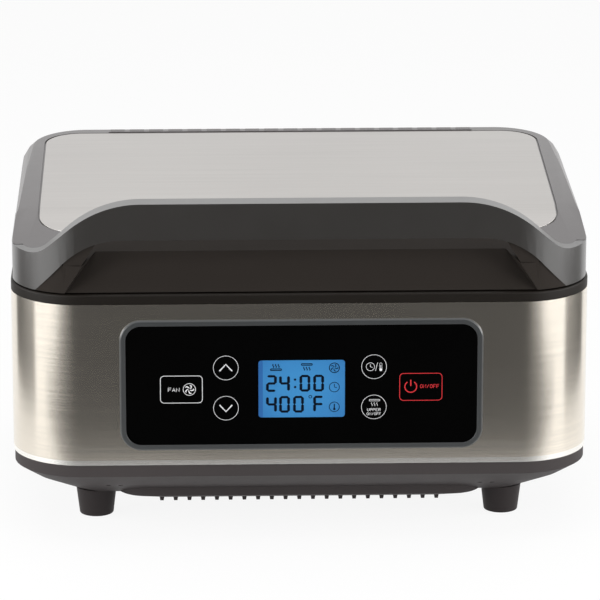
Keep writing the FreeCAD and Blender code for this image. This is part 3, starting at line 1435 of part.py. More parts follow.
def trim_to_panel(body, label, gap):
    """Cut a sheet of the lid's top to the panel's rounded outline, grown by gap."""
    outline = new_sketch(body, f"{label}_plan", "XY_Plane")
    far = half_w + 40
    add_rounded(outline, -far, far, -far, far, 20.0)
    frame = (-g.top_panel_half_width, g.top_panel_half_width,
             lid_front + g.top_panel_front, lid_front + g.top_panel_back)
    add_inset(outline, frame, g.top_panel_radius, -gap)
    pocket(body, f"{label}_trim", outline)


LID_SCREWS = [(sx * (half_w - 24.5), y) for sx in (-1, 1) for y in (-60.0, 75.0)]
LID_SCREWS += [(x, half_d - 24.5) for x in (-95.0, 95.0)]
HANDLE_SCREW_Y = (-100.0, -45.0)
HANDLE_SCREW_Z = lid_z + 14.8


def make_lid_frame():
    outer = lid_block("lid_outer", as_size(0), as_size(0))
    recess = recess_block("finger_recess", as_size(0))
    solid = boolean("Cut", "lid_solid", outer, recess)

    inner = lid_block("lid_inner", g.lid_wall, g.lid_wall)
    wide_recess = recess_block("recess_wall", g.lid_wall)
    grown_handle = handle_block("handle_wall", g.lid_wall, g.lid_wall)
    space = boolean("Cut", "lid_space_behind_recess", inner, wide_recess)
    space = boolean("Cut", "lid_space_behind_handle", space, grown_handle)
    post_foot = g.liner_flange_height + g.liner_sheet
    posts = rods("lid_posts", [(x, y, post_foot) for x, y in LID_SCREWS], 4.5, 60.0, Vector(0, 0, 1))
    space = boolean("Cut", "lid_space_round_posts", space, posts)
    shell = boolean("Cut", "lid_shell", solid, space)
    rebate = handle_block("handle_rebate", g.seat_gap, g.seat_gap)
    shell = boolean("Cut", "lid_rebated", shell, rebate)
    seat = lid_sheet("panel_seat_space", as_size(-20.0), g.panel_seat)
    trim_to_panel(seat, "panel_seat_space", g.seat_gap)
    shell = boolean("Cut", "lid_seated", shell, seat)
    hole = g.screw_radius + g.running_gap
    upright = rods("lid_screw_holes", [(x, y, lid_z) for x, y in LID_SCREWS], hole, 14.0, Vector(0, 0, 1))
    shell = boolean("Cut", "lid_drilled", shell, upright)
    start = half_w - g.handle_side_wall - g.lid_wall
    places = [(side * start, y, HANDLE_SCREW_Z) for side in (-1, 1) for y in HANDLE_SCREW_Y]
    across = rods("handle_screw_holes", places, hole, 12.0, Vector(1, 0, 0))
    frame = boolean("Cut", "lid_frame", shell, across)
    keep(frame, "lid_frame")


def rods(label, places, radius, length, direction):
    """Round rods of one size, as the tool of a cut; a rod left of the middle runs the other way."""
    made = []
    for index, spot in enumerate(places):
        rod = doc.addObject("Part::Cylinder", f"{label}_{index}")
        bind(rod, "Radius", radius)
        bind(rod, "Height", length)
        way = direction
        if direction.x and as_size(spot[0]).value < 0:
            way = direction * -1
        rod.Placement = Placement(Vector(0, 0, 0), Rotation(Vector(0, 0, 1), way))
        for axis, number in zip("xyz", spot):
            bind(rod, f".Placement.Base.{axis}", number)
        made.append(rod)
    group = doc.addObject("Part::Compound", label)
    group.Links = made
    return group


def make_handle():
    """Arched band that runs round both front corners, with blind holes for its screws."""
    body = handle_block("handle", as_size(0), as_size(0))
    holes = new_sketch(body, "handle_hole_outline", "YZ_Plane")
    for y in HANDLE_SCREW_Y:
        add_circle(holes, (y, HANDLE_SCREW_Z), g.screw_radius + g.running_gap)
    pocket(body, "handle_holes", holes, 2 * (half_w + g.handle_proud - 2), middle=True)
    keep(body, "handle")


def make_top_panel():
    body = lid_sheet("lid_top_panel", as_size(0.1), g.panel_sheet + 0.1)
    trim_to_panel(body, "lid_top_panel", as_size(0))
    keep(body, "lid_top_panel")


LINER_RADIUS = 24.0


def make_lid_liner():
    """Pressed steel liner that closes the lid from below and mirrors the upper heat down."""
    body = new_body("lid_liner")
    flange = new_sketch(body, "liner_flange_outline", "XY_Plane", g.liner_flange_height)
    side = half_w + g.handle_proud - g.handle_side_wall - g.lid_wall - 0.5
    back = half_d - g.lid_side_inset - g.lid_wall - 0.5
    add_rounded(flange, -side, side, recess_foot_y + 7.5, back, 60.0)
    pad(body, "liner_flange", flange, g.liner_sheet)
    dome = new_sketch(body, "liner_dome_outline", "XY_Plane", g.liner_flange_height)
    add_inset(dome, LINER, LINER_RADIUS)
    pad(body, "liner_dome", dome, g.liner_roof - g.liner_flange_height)
    hollow = new_sketch(body, "liner_hollow_outline", "XY_Plane", g.liner_flange_height - 1)
    add_inset(hollow, LINER, LINER_RADIUS, g.liner_sheet)
    pocket(body, "liner_hollow", hollow, g.liner_roof - g.liner_flange_height + 1 - g.liner_sheet)
    ends = new_sketch(body, "liner_end_holes", "XZ_Plane", g.liner_back + 1)
    for x in ELEMENT_END_X:
        add_circle(ends, (x, g.upper_element_height), g.element_radius + 0.4)
    pocket(body, "liner_end_openings", ends, 4.0, towards=-1)
    holes = new_sketch(body, "liner_screw_plan", "XY_Plane", g.liner_flange_height)
    for x, y in LID_SCREWS:
        add_circle(holes, (x, y), 1.7)
    pocket(body, "liner_screw_holes", holes)
    keep(body, "lid_liner")


def make_element_guard():
    """Slotted sheet that keeps food off the upper element."""
    body = new_body("element_guard")
    plan = new_sketch(body, "guard_outline", "XY_Plane", g.guard_height)
    add_inset(plan, LINER, LINER_RADIUS, g.liner_sheet + 0.3)
    pad(body, "guard_sheet", plan, 1.0)
    slots = new_sketch(body, "guard_slot_plan", "XY_Plane", g.guard_height)
    for x in (-172.0, -54.0, 64.0):
        add_rectangle(slots, x, x + 108, 14 - g.liner_front, 22 - g.liner_front)
    first = pocket(body, "guard_slot", slots)
    repeat_row(body, "guard_slots", first, "Y_Axis", g.liner_front + g.liner_back - 36, 14)
    keep(body, "element_guard")


def make_lid_bumpers():
    """Soft bumpers under the lid's rim."""
    pads = []
    for index, (side, end) in enumerate(((-1, -1), (1, -1), (-1, 1), (1, 1))):
        bumper = doc.addObject("Part::Cylinder", f"bumper_{index}")
        bumper.Radius = 5.0
        bind(bumper, "Height", g.liner_flange_height - ring_top - 0.2)
        bind(bumper, ".Placement.Base.x", side * (half_w - 17.5))
        bind(bumper, ".Placement.Base.y", end * (half_d - 52.5))
        bind(bumper, ".Placement.Base.z", ring_top + 0.2)
        pads.append(bumper)
    group = doc.addObject("Part::Compound", "lid_bumpers")
    group.Links = pads
    keep(group, "lid_bumpers")


VENT_REACH = 154.5


def make_lid_vent():
    """Strip of short louvres on the frame, behind the steel panel."""
    body = new_body("lid_vent_strip")
    front = half_d - 15.5
    back = half_d - 9.5
    front_z = g.lid_back_height - 15.5 * back_rise
    back_z = g.lid_back_height - 9.5 * back_rise
    bar = new_sketch(body, "vent_strip_section", "YZ_Plane")
    add_polygon(bar, [(front, front_z), (back, back_z), (back, back_z + 0.5), (front, front_z + 0.5)])
    pad(body, "vent_strip_bar", bar, 312.0, middle=True)
    louvre = new_sketch(body, "louvre_section", "YZ_Plane", -VENT_REACH)
    add_polygon(louvre, [(front + 0.6, front_z + 0.4), (back - 0.6, back_z + 0.4),
                         (back - 0.6, back_z + 1.1), (front + 2.4, front_z + 0.9)])
    first = pad(body, "louvre", louvre, 12.0)
    repeat_row(body, "louvres", first, "X_Axis", 2 * VENT_REACH - 12, 19)
    keep(body, "lid_vent_strip")


make_base_pan()
make_feet()
make_screws()
make_body_shell()
make_trim_ring()
make_well_liner()
make_grill_plate()
make_elements()
make_element_strips()
make_drip_tray()
make_tray_runners()
make_grease_filters()
make_smoke_duct()
make_fan()
make_panel()
make_sensors()
make_back_parts()
make_hinges()
make_lid_frame()
make_handle()
make_top_panel()
make_lid_liner()
make_element_guard()
make_lid_bumpers()
make_lid_vent()
doc.recompute()

for item in doc.Objects:
    if "Invalid" in item.State or "Error" in item.State:
        raise RuntimeError(f"{item.Label} failed: {item.State}")
for node, item in pieces.items():
    if item.Shape.isNull() or not item.Shape.isValid():
        raise RuntimeError(f"{node} has no valid shape")

os.makedirs("parts", exist_ok=True)
for node, item in pieces.items():
    item.Shape.exportStep(f"parts/{node}.step")
print(len(pieces), "sub-parts written")
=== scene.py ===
import logging
import math
from collections.abc import Iterator, Mapping, Sequence
from contextlib import contextmanager
from dataclasses import dataclass, field
from enum import Enum
from functools import cache

import bpy
from mathutils import Matrix, Vector


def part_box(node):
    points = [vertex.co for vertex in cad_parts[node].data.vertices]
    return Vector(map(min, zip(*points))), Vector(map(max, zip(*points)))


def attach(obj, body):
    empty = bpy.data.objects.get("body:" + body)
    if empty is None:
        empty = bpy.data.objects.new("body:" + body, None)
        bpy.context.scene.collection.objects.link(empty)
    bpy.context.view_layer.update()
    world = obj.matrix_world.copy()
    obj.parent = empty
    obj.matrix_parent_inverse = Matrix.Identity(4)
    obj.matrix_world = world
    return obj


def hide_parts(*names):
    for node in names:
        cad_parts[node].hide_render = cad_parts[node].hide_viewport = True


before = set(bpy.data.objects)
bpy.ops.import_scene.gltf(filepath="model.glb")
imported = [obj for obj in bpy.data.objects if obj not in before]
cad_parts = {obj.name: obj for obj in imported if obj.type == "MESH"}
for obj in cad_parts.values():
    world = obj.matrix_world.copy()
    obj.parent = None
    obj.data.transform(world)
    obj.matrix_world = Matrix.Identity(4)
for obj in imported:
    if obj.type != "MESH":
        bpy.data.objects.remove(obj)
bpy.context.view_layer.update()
MM = 0.001
LOG = logging.getLogger("grill")

Colour = tuple[float, float, float]
Place = tuple[float, float, float]
Spot = tuple[float, float]
Corner = tuple[float, float, float]
# A bent line's corners in millimetres, and its width
Line = tuple[tuple[Spot, ...], float]
Piece = bpy.types.Object

# Edges that bend by more than this are sharp
SHARP = math.radians(28)
# Corners nearer than this are one, in metres
SAME_CORNER = 0.002 * MM
# Neighbouring faces of a drawn solid that bend by less than this are one, in degrees
FLAT = 0.5


def srgb(red: int, green: int, blue: int) -> Colour:
    """A colour as it looks on a display, turned into the linear numbers that a shader takes.

    Args:
        red: red from 0 to 255.
        green: green from 0 to 255.
        blue: blue from 0 to 255.

    Returns:
        The linear colour.
    """
    shares = [level / 255 for level in (red, green, blue)]
    return tuple(
        share / 12.92 if share <= 0.04045 else ((share + 0.055) / 1.055) ** 2.4 for share in shares
    )


class Grain(Enum):
    """The way a brushed or drawn pattern runs, as the stretch of its noise on X, Y and Z."""

    ROUND_THE_CASING = (14.0, 14.0, 2600.0)
    ACROSS_THE_LID = (9.0, 1800.0, 9.0)
    EVEN = (300.0, 300.0, 300.0)


class Signal:
    """One output of a shader node. Arithmetic on it adds maths nodes."""

    def __init__(self, wiring: "Wiring", socket: bpy.types.NodeSocket) -> None:
        """Keep the socket and the node tree that it belongs to."""
        self.wiring = wiring
        self.socket = socket

    def _maths(self, operation: str, other: "Signal | float") -> "Signal":
        """A maths node of this and another input."""
        return self.wiring.add("ShaderNodeMath", {"operation": operation}, {0: self, 1: other})

    def __add__(self, other: "Signal | float") -> "Signal":
        """Sum."""
        return self._maths("ADD", other)

    __radd__ = __add__

    def __sub__(self, other: "Signal | float") -> "Signal":
        """Difference."""
        return self._maths("SUBTRACT", other)

    def __mul__(self, other: "Signal | float") -> "Signal":
        """Product."""
        return self._maths("MULTIPLY", other)

    def __truediv__(self, other: "Signal | float") -> "Signal":
        """Quotient."""
        return self._maths("DIVIDE", other)

    def __gt__(self, other: "Signal | float") -> "Signal":
        """1 where this is the larger, 0 elsewhere."""
        return self._maths("GREATER_THAN", other)

    def __lt__(self, other: "Signal | float") -> "Signal":
        """1 where this is the smaller, 0 elsewhere."""
        return self._maths("LESS_THAN", other)

    def larger(self, other: "Signal | float") -> "Signal":
        """The larger of the two."""
        return self._maths("MAXIMUM", other)


class Wiring:
    """Adds and links the nodes of one material or of the world."""

    def __init__(self, tree: bpy.types.NodeTree) -> None:
        """Keep the node tree."""
        self.tree = tree

    def first(self, kind: str) -> bpy.types.Node:
        """The tree's own node of a type, such as its output."""
        return next(node for node in self.tree.nodes if node.type == kind)

    def add(
        self,
        kind: str,
        settings: Mapping[str, object] | None = None,
        inputs: Mapping[int | str, object] | None = None,
        output: int | str = 0,
    ) -> Signal:
        """Add a node of any type.

        Args:
            kind: the node's type name.
            settings: its own settings, set first.
            inputs: values or signals for its sockets, by number or name.
            output: the output wanted, by number or name.

        Returns:
            That output.
        """
        node = self.tree.nodes.new(kind)
        for name, value in (settings or {}).items():
            setattr(node, name, value)
        for key, value in (inputs or {}).items():
            self.plug(node.inputs[key], value)
        return Signal(self, node.outputs[output])

    def plug(self, socket: bpy.types.NodeSocket, value: object) -> None:
        """Give a socket a value, or link a signal to it.

        Args:
            socket: the input.
            value: the value or signal; a colour may leave its alpha out.
        """
        if isinstance(value, Signal):
            self.tree.links.new(value.socket, socket)
        elif isinstance(value, tuple) and len(value) == 3 and socket.type == "RGBA":
            socket.default_value = (*value, 1.0)
        else:
            socket.default_value = value

    def background_rays(self) -> Signal:
        """1 for rays that show the background itself, 0 for the rest.

        Returns:
            A signal of the rays from the camera, a gloss or a clear piece.
        """
        seen, gloss, clear = (
            self.add("ShaderNodeLightPath", output=kind)
            for kind in ("Is Camera Ray", "Is Glossy Ray", "Is Transmission Ray")
        )
        return seen.larger(gloss).larger(clear)


class Shader(Wiring):
    """A material's nodes round one Principled shader."""

    def __init__(self, name: str) -> None:
        """Make the material and keep its shader.

        Args:
            name: the material's name.
        """
        self.material = bpy.data.materials.new(name)
        self.material.use_nodes = True
        super().__init__(self.material.node_tree)
        self.surface = self.first("BSDF_PRINCIPLED")

    def feed(self, **inputs: object) -> None:
        """Set the Principled shader's own sockets, named with underscores for spaces."""
        for name, value in inputs.items():
            self.plug(self.surface.inputs[name.replace("_", " ")], value)

    def place(
        self, stretch: Sequence[float] = (1.0, 1.0, 1.0), middle: Sequence[float] = (0.0, 0.0, 0.0)
    ) -> Signal:
        """Object coordinates, moved and stretched.

        Args:
            stretch: how much finer the pattern is on X, Y and Z.
            middle: the place that becomes the origin.

        Returns:
            The coordinates.
        """
        spot = self.add("ShaderNodeTexCoord", output="Object")
        shift = tuple(-size * by for size, by in zip(middle, stretch))
        inputs = {"Vector": spot, "Location": shift, "Scale": tuple(stretch)}
        return self.add("ShaderNodeMapping", {"vector_type": "POINT"}, inputs)

    def noise(self, where: Signal, scale: float, detail: float = 2.0, roughness: float = 0.5) -> Signal:
        """Noise from 0 to 1 at a place."""
        inputs = {"Vector": where, "Scale": scale, "Detail": detail, "Roughness": roughness}
        return self.add("ShaderNodeTexNoise", {"noise_dimensions": "3D"}, inputs, "Fac")

    def blend(self, share: object, first: object, second: object) -> Signal:
        """A mix of two colours."""
        return self.add("ShaderNodeMix", {"data_type": "RGBA"}, {0: share, 6: first, 7: second}, 2)

    def bump(self, height: Signal, strength: float, distance: float) -> Signal:
        """A normal that follows a height."""
        inputs = {"Strength": strength, "Distance": distance, "Height": height}
        return self.add("ShaderNodeBump", {}, inputs, "Normal")


@dataclass(frozen=True)
class Finish:
    """A surface finish, with a name and a main colour."""

    name: str
    colour: Colour

    def material(self) -> bpy.types.Material:
        """Build the finish as a material.

        Returns:
            The material.
        """
        shader = Shader(self.name)
        self.shade(shader)
        return shader.material

    def shade(self, shader: Shader) -> None:
        """Add the finish's own nodes to a new material."""
        raise NotImplementedError

    def tones(self, low: float, high: float) -> list[Colour]:
        """The main colour at two levels, for a blend between them."""
        return [tuple(level * share for level in self.colour) for share in (low, high)]


@dataclass(frozen=True)
class BrushedSteel(Finish):
    """Sheet steel with a fine drawn grain, a few longer scratches and slow changes of tone.

    Its lower edge can have a painted highlight: a lighter colour, standing in for the light on its rolled
    rim, painted up to a given height, or none where that height is 0.
    """

    grain: Grain = Grain.EVEN
    roughness: float = 0.3
    anisotropy: float = 0.0
    edge_highlight_height: float = 0.0
    painted_highlight_tone: Colour = srgb(255, 253, 248)

    def shade(self, shader: Shader) -> None:
        """Draw the grain along the sheet and paint a highlight along its rolled edge.

        Args:
            shader: the new material's nodes.
        """
        fine = shader.noise(shader.place(self.grain.value), 1.0, 3.0, 0.6)
        scratches = shader.noise(shader.place([step * 0.25 for step in self.grain.value]), 1.0, 2.0)
        slow = shader.noise(shader.place((6.0, 6.0, 6.0)), 1.0, 1.0)
        colour = shader.blend(fine * 0.6 + scratches * 0.2 + slow * 0.2, *self.tones(0.74, 1.26))
        # Painted highlight: below a wavy line near the lower edge the colour turns near white, standing in
        # for the light on the rolled rim.
        if self.edge_highlight_height:
            level = shader.add("ShaderNodeSeparateXYZ", {}, {"Vector": shader.place()}, "Z")
            in_painted_highlight = level < self.edge_highlight_height + (slow - 0.5) * MM
            colour = shader.blend(in_painted_highlight * 0.95, colour, self.painted_highlight_tone)
        shader.feed(
            Base_Color=colour,
            Metallic=1.0,
            Roughness=self.roughness - 0.04 + fine * 0.08,
            Anisotropic=self.anisotropy,
            Anisotropic_Rotation=0.25,
            Normal=shader.bump(fine, 0.12, 0.05 * MM),
        )


@dataclass(frozen=True)
class MouldedPlastic(Finish):
    """Moulded plastic: a fine spark texture, faint flow marks and a little dust in the sheen.

    grain_size is in millimetres.
    """

    roughness: float = 0.4
    sheen: float = 0.5
    polish: float = 0.0
    grain_size: float = 0.4
    grain_depth: float = 0.12

    def shade(self, shader: Shader) -> None:
        """Lay the spark texture over the flow marks.

        Args:
            shader: the new material's nodes.
        """
        spark = shader.noise(shader.place(), 1.0 / (self.grain_size * MM), 2.0, 0.55)
        flow = shader.noise(shader.place((9.0, 9.0, 22.0)), 1.0, 3.0)
        dust = shader.noise(shader.place(), 60.0, 4.0, 0.65)
        shader.feed(
            Base_Color=shader.blend(flow * 0.6 + spark * 0.4, *self.tones(0.82, 1.18)),
            Specular_IOR_Level=self.sheen,
            Coat_Weight=self.polish,
            Coat_Roughness=0.3,
            Roughness=self.roughness - 0.05 + dust * 0.1,
            Normal=shader.bump(spark, self.grain_depth, 0.06 * MM),
        )


@dataclass(frozen=True)
class BlackGlass(Finish):
    """Polished glass, black behind, with the faintest haze."""

    def shade(self, shader: Shader) -> None:
        """Cloud the glass a little.

        Args:
            shader: the new material's nodes.
        """
        haze = shader.noise(shader.place(), 18.0, 5.0, 0.6)
        shader.feed(
            Base_Color=shader.blend(haze, *self.tones(1.0, 1.6)),
            Specular_IOR_Level=0.03,
            Roughness=0.08 + haze * 0.06,
        )


@dataclass(frozen=True)
class CastCoating(Finish):
    """Cast metal under a pebbled non-stick coat with pale specks."""

    roughness: float = 0.5
    speck: Colour = srgb(120, 118, 115)

    def shade(self, shader: Shader) -> None:
        """Pebble the coat and scatter the specks.

        Args:
            shader: the new material's nodes.
        """
        pebbles = shader.noise(shader.place(), 900.0, 1.0)
        mottle = shader.noise(shader.place(), 90.0, 4.0, 0.6)
        specks = shader.noise(shader.place(), 1500.0, 1.0) > 0.68
        shader.feed(
            Base_Color=shader.blend(specks * 0.35, shader.blend(mottle, *self.tones(0.8, 1.25)), self.speck),
            Roughness=self.roughness - 0.08 + mottle * 0.16,
            Normal=shader.bump(pebbles + mottle * 0.4, 0.25, 0.12 * MM),
        )


@dataclass(frozen=True)
class BareMetal(Finish):
    """Plain metal such as screws, pins and pressed brackets, with a faint turned or rolled grain."""

    roughness: float = 0.35

    def shade(self, shader: Shader) -> None:
        """Run the grain along Y and stain the metal a little.

        Args:
            shader: the new material's nodes.
        """
        grain = shader.noise(shader.place((400.0, 60.0, 400.0)), 1.0, 2.0)
        stains = shader.noise(shader.place(), 45.0, 4.0, 0.6)
        shader.feed(
            Base_Color=shader.blend(stains, *self.tones(0.78, 1.1)),
            Metallic=1.0,
            Roughness=self.roughness - 0.07 + grain * 0.1 + stains * 0.06,
            Normal=shader.bump(grain, 0.08, 0.04 * MM),
        )


@dataclass(frozen=True)
class SoftRubber(Finish):
    """Matt rubber with a fine dusty bloom."""

    def shade(self, shader: Shader) -> None:
        """Dust the rubber and roughen it.

        Args:
            shader: the new material's nodes.
        """
        bloom = shader.noise(shader.place(), 120.0, 4.0, 0.7)
        grit = shader.noise(shader.place(), 2600.0, 1.0)
        shader.feed(
            Base_Color=shader.blend(bloom, *self.tones(1.0, 1.9)),
            Roughness=0.72 + bloom * 0.16,
            Normal=shader.bump(grit, 0.2, 0.05 * MM),
        )


@dataclass(frozen=True)
class CircuitBoard(Finish):
    """Board lacquer over copper tracks."""

    copper: Colour = srgb(150, 130, 60)

    def shade(self, shader: Shader) -> None:
        """Lay the tracks out as a wide brick pattern under the lacquer.

        Args:
            shader: the new material's nodes.
        """
        bricks = {
            "Vector": shader.place(),
            "Color1": (1.0, 1.0, 1.0),
            "Color2": (0.85, 0.85, 0.85),
            "Mortar": (0.0, 0.0, 0.0),
            "Scale": 160.0,
            "Mortar Size": 0.03,
        }
        tracks = shader.add("ShaderNodeTexBrick", {"offset": 0.5}, bricks, "Fac")
        mottle = shader.noise(shader.place(), 200.0, 2.0)
        lacquer = shader.blend(mottle, *self.tones(0.75, 1.2))
        shader.feed(
            Base_Color=shader.blend(tracks * 0.6, lacquer, self.copper),
            Roughness=0.32 + mottle * 0.12,
            Normal=shader.bump(tracks, 0.1, 0.03 * MM),
        )


@dataclass(frozen=True)
class PrintedInk(Finish):
    """A light that shines through the glass, or ink printed on it, with a slightly uneven tone."""

    glow: float = 0.0

    def shade(self, shader: Shader) -> None:
        """Lay the ink unevenly and light it if it glows.

        Args:
            shader: the new material's nodes.
        """
        uneven = shader.noise(shader.place(), 700.0, 3.0)
        tone = shader.blend(uneven, *self.tones(0.88, 1.08))
        shader.feed(Base_Color=tone, Roughness=0.42 + uneven * 0.1, Specular_IOR_Level=0.05)
        if self.glow > 0:
            shader.feed(Emission_Color=tone, Emission_Strength=self.glow)


@dataclass(frozen=True)
class BacklitWindow(Finish):
    """The display's lit window: brightest in its middle, deeper at its edges and darkest at its left.

    half_width, half_height and middle are in metres. dark_strip is where the left strip starts.
    """

    deep: Colour = (0.0, 0.0, 0.0)
    half_width: float = 0.03
    half_height: float = 0.02
    middle: Place = (0.0, 0.0, 0.0)
    dark_strip: float = -0.9
    glow: float = 0.22

    def shade(self, shader: Shader) -> None:
        """Deepen the light towards the edges.

        Args:
            shader: the new material's nodes.
        """
        spot = {"Vector": shader.place((1.0, 1.0, 1.0), self.middle)}
        across = shader.add("ShaderNodeSeparateXYZ", {}, spot, "X") / self.half_width
        upwards = shader.add("ShaderNodeSeparateXYZ", {}, spot, "Z") / self.half_height
        edge = across * across * 0.35 + upwards * upwards * 0.2 + (across < self.dark_strip) * 0.6
        cloud = shader.noise(shader.place(), 30.0, 2.0)
        cells = shader.noise(shader.place((2500.0, 2500.0, 2500.0)), 1.0, 1.0)
        tone = shader.blend(edge + cloud * 0.2, self.colour, self.deep)
        shader.feed(
            Base_Color=tone,
            Roughness=0.3 + cells * 0.1,
            Emission_Color=tone,
            Emission_Strength=self.glow,
        )


CASING_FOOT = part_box("body_shell")[0].z
FINISHES = {
    # The casing's last number is how high the painted highlight on its lower edge reaches.
    "champagne_steel": BrushedSteel(
        "casing_steel", srgb(238, 230, 217), Grain.ROUND_THE_CASING, 0.22, 0.5, CASING_FOOT + 4.0 * MM
    ),
    "pale_steel": BrushedSteel("lid_steel", srgb(188, 185, 182), Grain.ACROSS_THE_LID, 0.34),
    "dark_plastic": MouldedPlastic("dark_plastic", srgb(34, 31, 28), 0.38, 1.0, 0.7),
    "frame_plastic": MouldedPlastic("frame_plastic", srgb(58, 52, 52), 0.36, 1.0, 0.5),
    # Painted shade: the frame plastic made darker and matt for the finger recess and the cheeks, where the
    # handle bar shades them.
    "recess_shade_plastic": MouldedPlastic("recess_shade_plastic", srgb(44, 40, 37), 0.55, 0.03),
    # Painted reflection: the trim ring is frame plastic, made darker and less glossy here to stand in for
    # the dark surroundings that its front reflects.
    "ring_shade_plastic": MouldedPlastic("ring_shade_plastic", srgb(24, 20, 16), 0.5, 0.18),
    "foot_plastic": MouldedPlastic("foot_plastic", srgb(50, 46, 46), 0.5, 0.1),
    "base_plastic": MouldedPlastic("base_plastic", srgb(62, 58, 58), 0.55, 0.1),
    "bezel_plastic": MouldedPlastic("bezel_plastic", srgb(56, 58, 59), 0.3, 0.6, 0.2, 0.3, 0.08),
    "black_glass": BlackGlass("black_glass", srgb(3, 3, 3)),
    "liner_steel": BrushedSteel("liner_steel", srgb(170, 168, 165), Grain.EVEN, 0.38, 0.0),
    "cast_plate": CastCoating("cast_plate", srgb(58, 57, 57)),
    "element_steel": BareMetal("element_steel", srgb(92, 88, 84), 0.45),
    "hinge_metal": BareMetal("hinge_metal", srgb(120, 118, 115), 0.4),
    "screw_steel": BareMetal("screw_steel", srgb(150, 148, 145), 0.3),
    "soft_rubber": SoftRubber("soft_rubber", srgb(34, 33, 33)),
    "board": CircuitBoard("board_lacquer", srgb(28, 84, 52)),
    "display": PrintedInk("display_face", srgb(120, 126, 130)),
    "motor_metal": BareMetal("motor_metal", srgb(160, 158, 154), 0.4),
    "fan_plastic": MouldedPlastic("fan_plastic", srgb(70, 70, 72), 0.45),
    "bush_brass": BareMetal("bush_brass", srgb(178, 140, 76), 0.32),
}


@cache
def finish(name: str) -> bpy.types.Material:
    """The material of one of FINISHES, built once."""
    return FINISHES[name].material()


def dress_nodes() -> None:
    """Give every carried-over node the finish of its own slot."""
    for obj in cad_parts.values():
        for slot in obj.material_slots:
            slot.material = finish(slot.material.name.split(".")[0])
    LOG.info("dressed %d nodes", len(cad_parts))


def only(obj: Piece) -> None:
    """Select one object alone and make it active.

    Args:
        obj: the object.
    """
    if bpy.context.mode != "OBJECT":
        bpy.ops.object.mode_set(mode="OBJECT")
    bpy.ops.object.select_all(action="DESELECT")
    obj.select_set(True)
    bpy.context.view_layer.objects.active = obj


@contextmanager
def all_selected(obj: Piece) -> Iterator[None]:
    """Edit a mesh with all of it selected.

    Args:
        obj: the piece.

    Returns:
        The time in which it can be edited.
    """
    only(obj)
    bpy.ops.object.mode_set(mode="EDIT")
    bpy.ops.mesh.select_all(action="SELECT")
    yield
    bpy.ops.object.mode_set(mode="OBJECT")


def joined(parts: Sequence[Piece], name: str) -> Piece:
    """Join meshes into one object.

    Args:
        parts: the meshes.
        name: the new object's name.

    Returns:
        The one object.
    """
    only(parts[0])
    for part in parts:
        part.select_set(True)
    if len(parts) > 1:
        bpy.ops.object.join()
    made = bpy.context.view_layer.objects.active
    made.name = name
    made.data.name = name
    return made


def applied(obj: Piece) -> Piece:
    """Put an object's place, turn and scale into its mesh.

    Args:
        obj: the object.

    Returns:
        The same object.
    """
    only(obj)
    bpy.ops.object.transform_apply(location=True, rotation=True, scale=True)
    return obj


def from_curve(curve: bpy.types.Curve, name: str, stand: Matrix) -> Piece:
    """Turn a curve into a mesh and put it in its place.

    Args:
        curve: the curve.
        name: the new object's name.
        stand: how it is placed, turned and squeezed.

    Returns:
        The mesh, with its place in its corners.
    """
    obj = bpy.data.objects.new(name, curve)
    bpy.context.scene.collection.objects.link(obj)
    only(obj)
    bpy.ops.object.convert(target="MESH")
    obj = bpy.context.view_layer.objects.active
    obj.matrix_world = stand
    return applied(obj)


def drawn(outline: Sequence[Spot], thickness: float, name: str) -> bpy.types.Curve:
    """A filled flat curve on X and Y.

    Args:
        outline: its corners in millimetres, in order.
        thickness: in metres.
        name: the curve's name.

    Returns:
        The curve.
    """
    curve = bpy.data.curves.new(name, "CURVE")
    curve.dimensions = "2D"
    curve.fill_mode = "BOTH"
    curve.extrude = thickness / 2
    line = curve.splines.new("POLY")
    line.points.add(len(outline) - 1)
    for point, (x, y) in zip(line.points, outline):
        point.co = (x * MM, y * MM, 0, 1)
    line.use_cyclic_u = True
    return curve


def standing(y: float) -> Matrix:
    """The turn that stands a drawing on X and Y up on X and Z, at a place on Y."""
    return Matrix.Translation((0, y, 0)) @ Matrix.Rotation(math.pi / 2, 4, "X")


def on_circle(x: float, z: float, radius: float, angle: float) -> Spot:
    """The spot at an angle in radians on a circle."""
    return x + radius * math.cos(angle), z + radius * math.sin(angle)


def circle(x: float, z: float, radius: float, steps: int) -> list[Spot]:
    """The spots of a circle."""
    return [on_circle(x, z, radius, 2 * math.pi * i / steps) for i in range(steps)]


def round_box(low: Spot, high: Spot, radius: float, steps: int = 6) -> list[Spot]:
    """The corners of a box with round corners, in order.

    Args:
        low: its lower left corner.
        high: its upper right corner.
        radius: of its corners.
        steps: how many parts each corner has.

    Returns:
        The outline's points.
    """
    centres = [
        (high[0] - radius, high[1] - radius, 0),
        (low[0] + radius, high[1] - radius, 90),
        (low[0] + radius, low[1] + radius, 180),
        (high[0] - radius, low[1] + radius, 270),
    ]
    return [
        on_circle(x, z, radius, math.radians(start + 90 * i / steps))
        for x, z, start in centres
        for i in range(steps + 1)
    ]


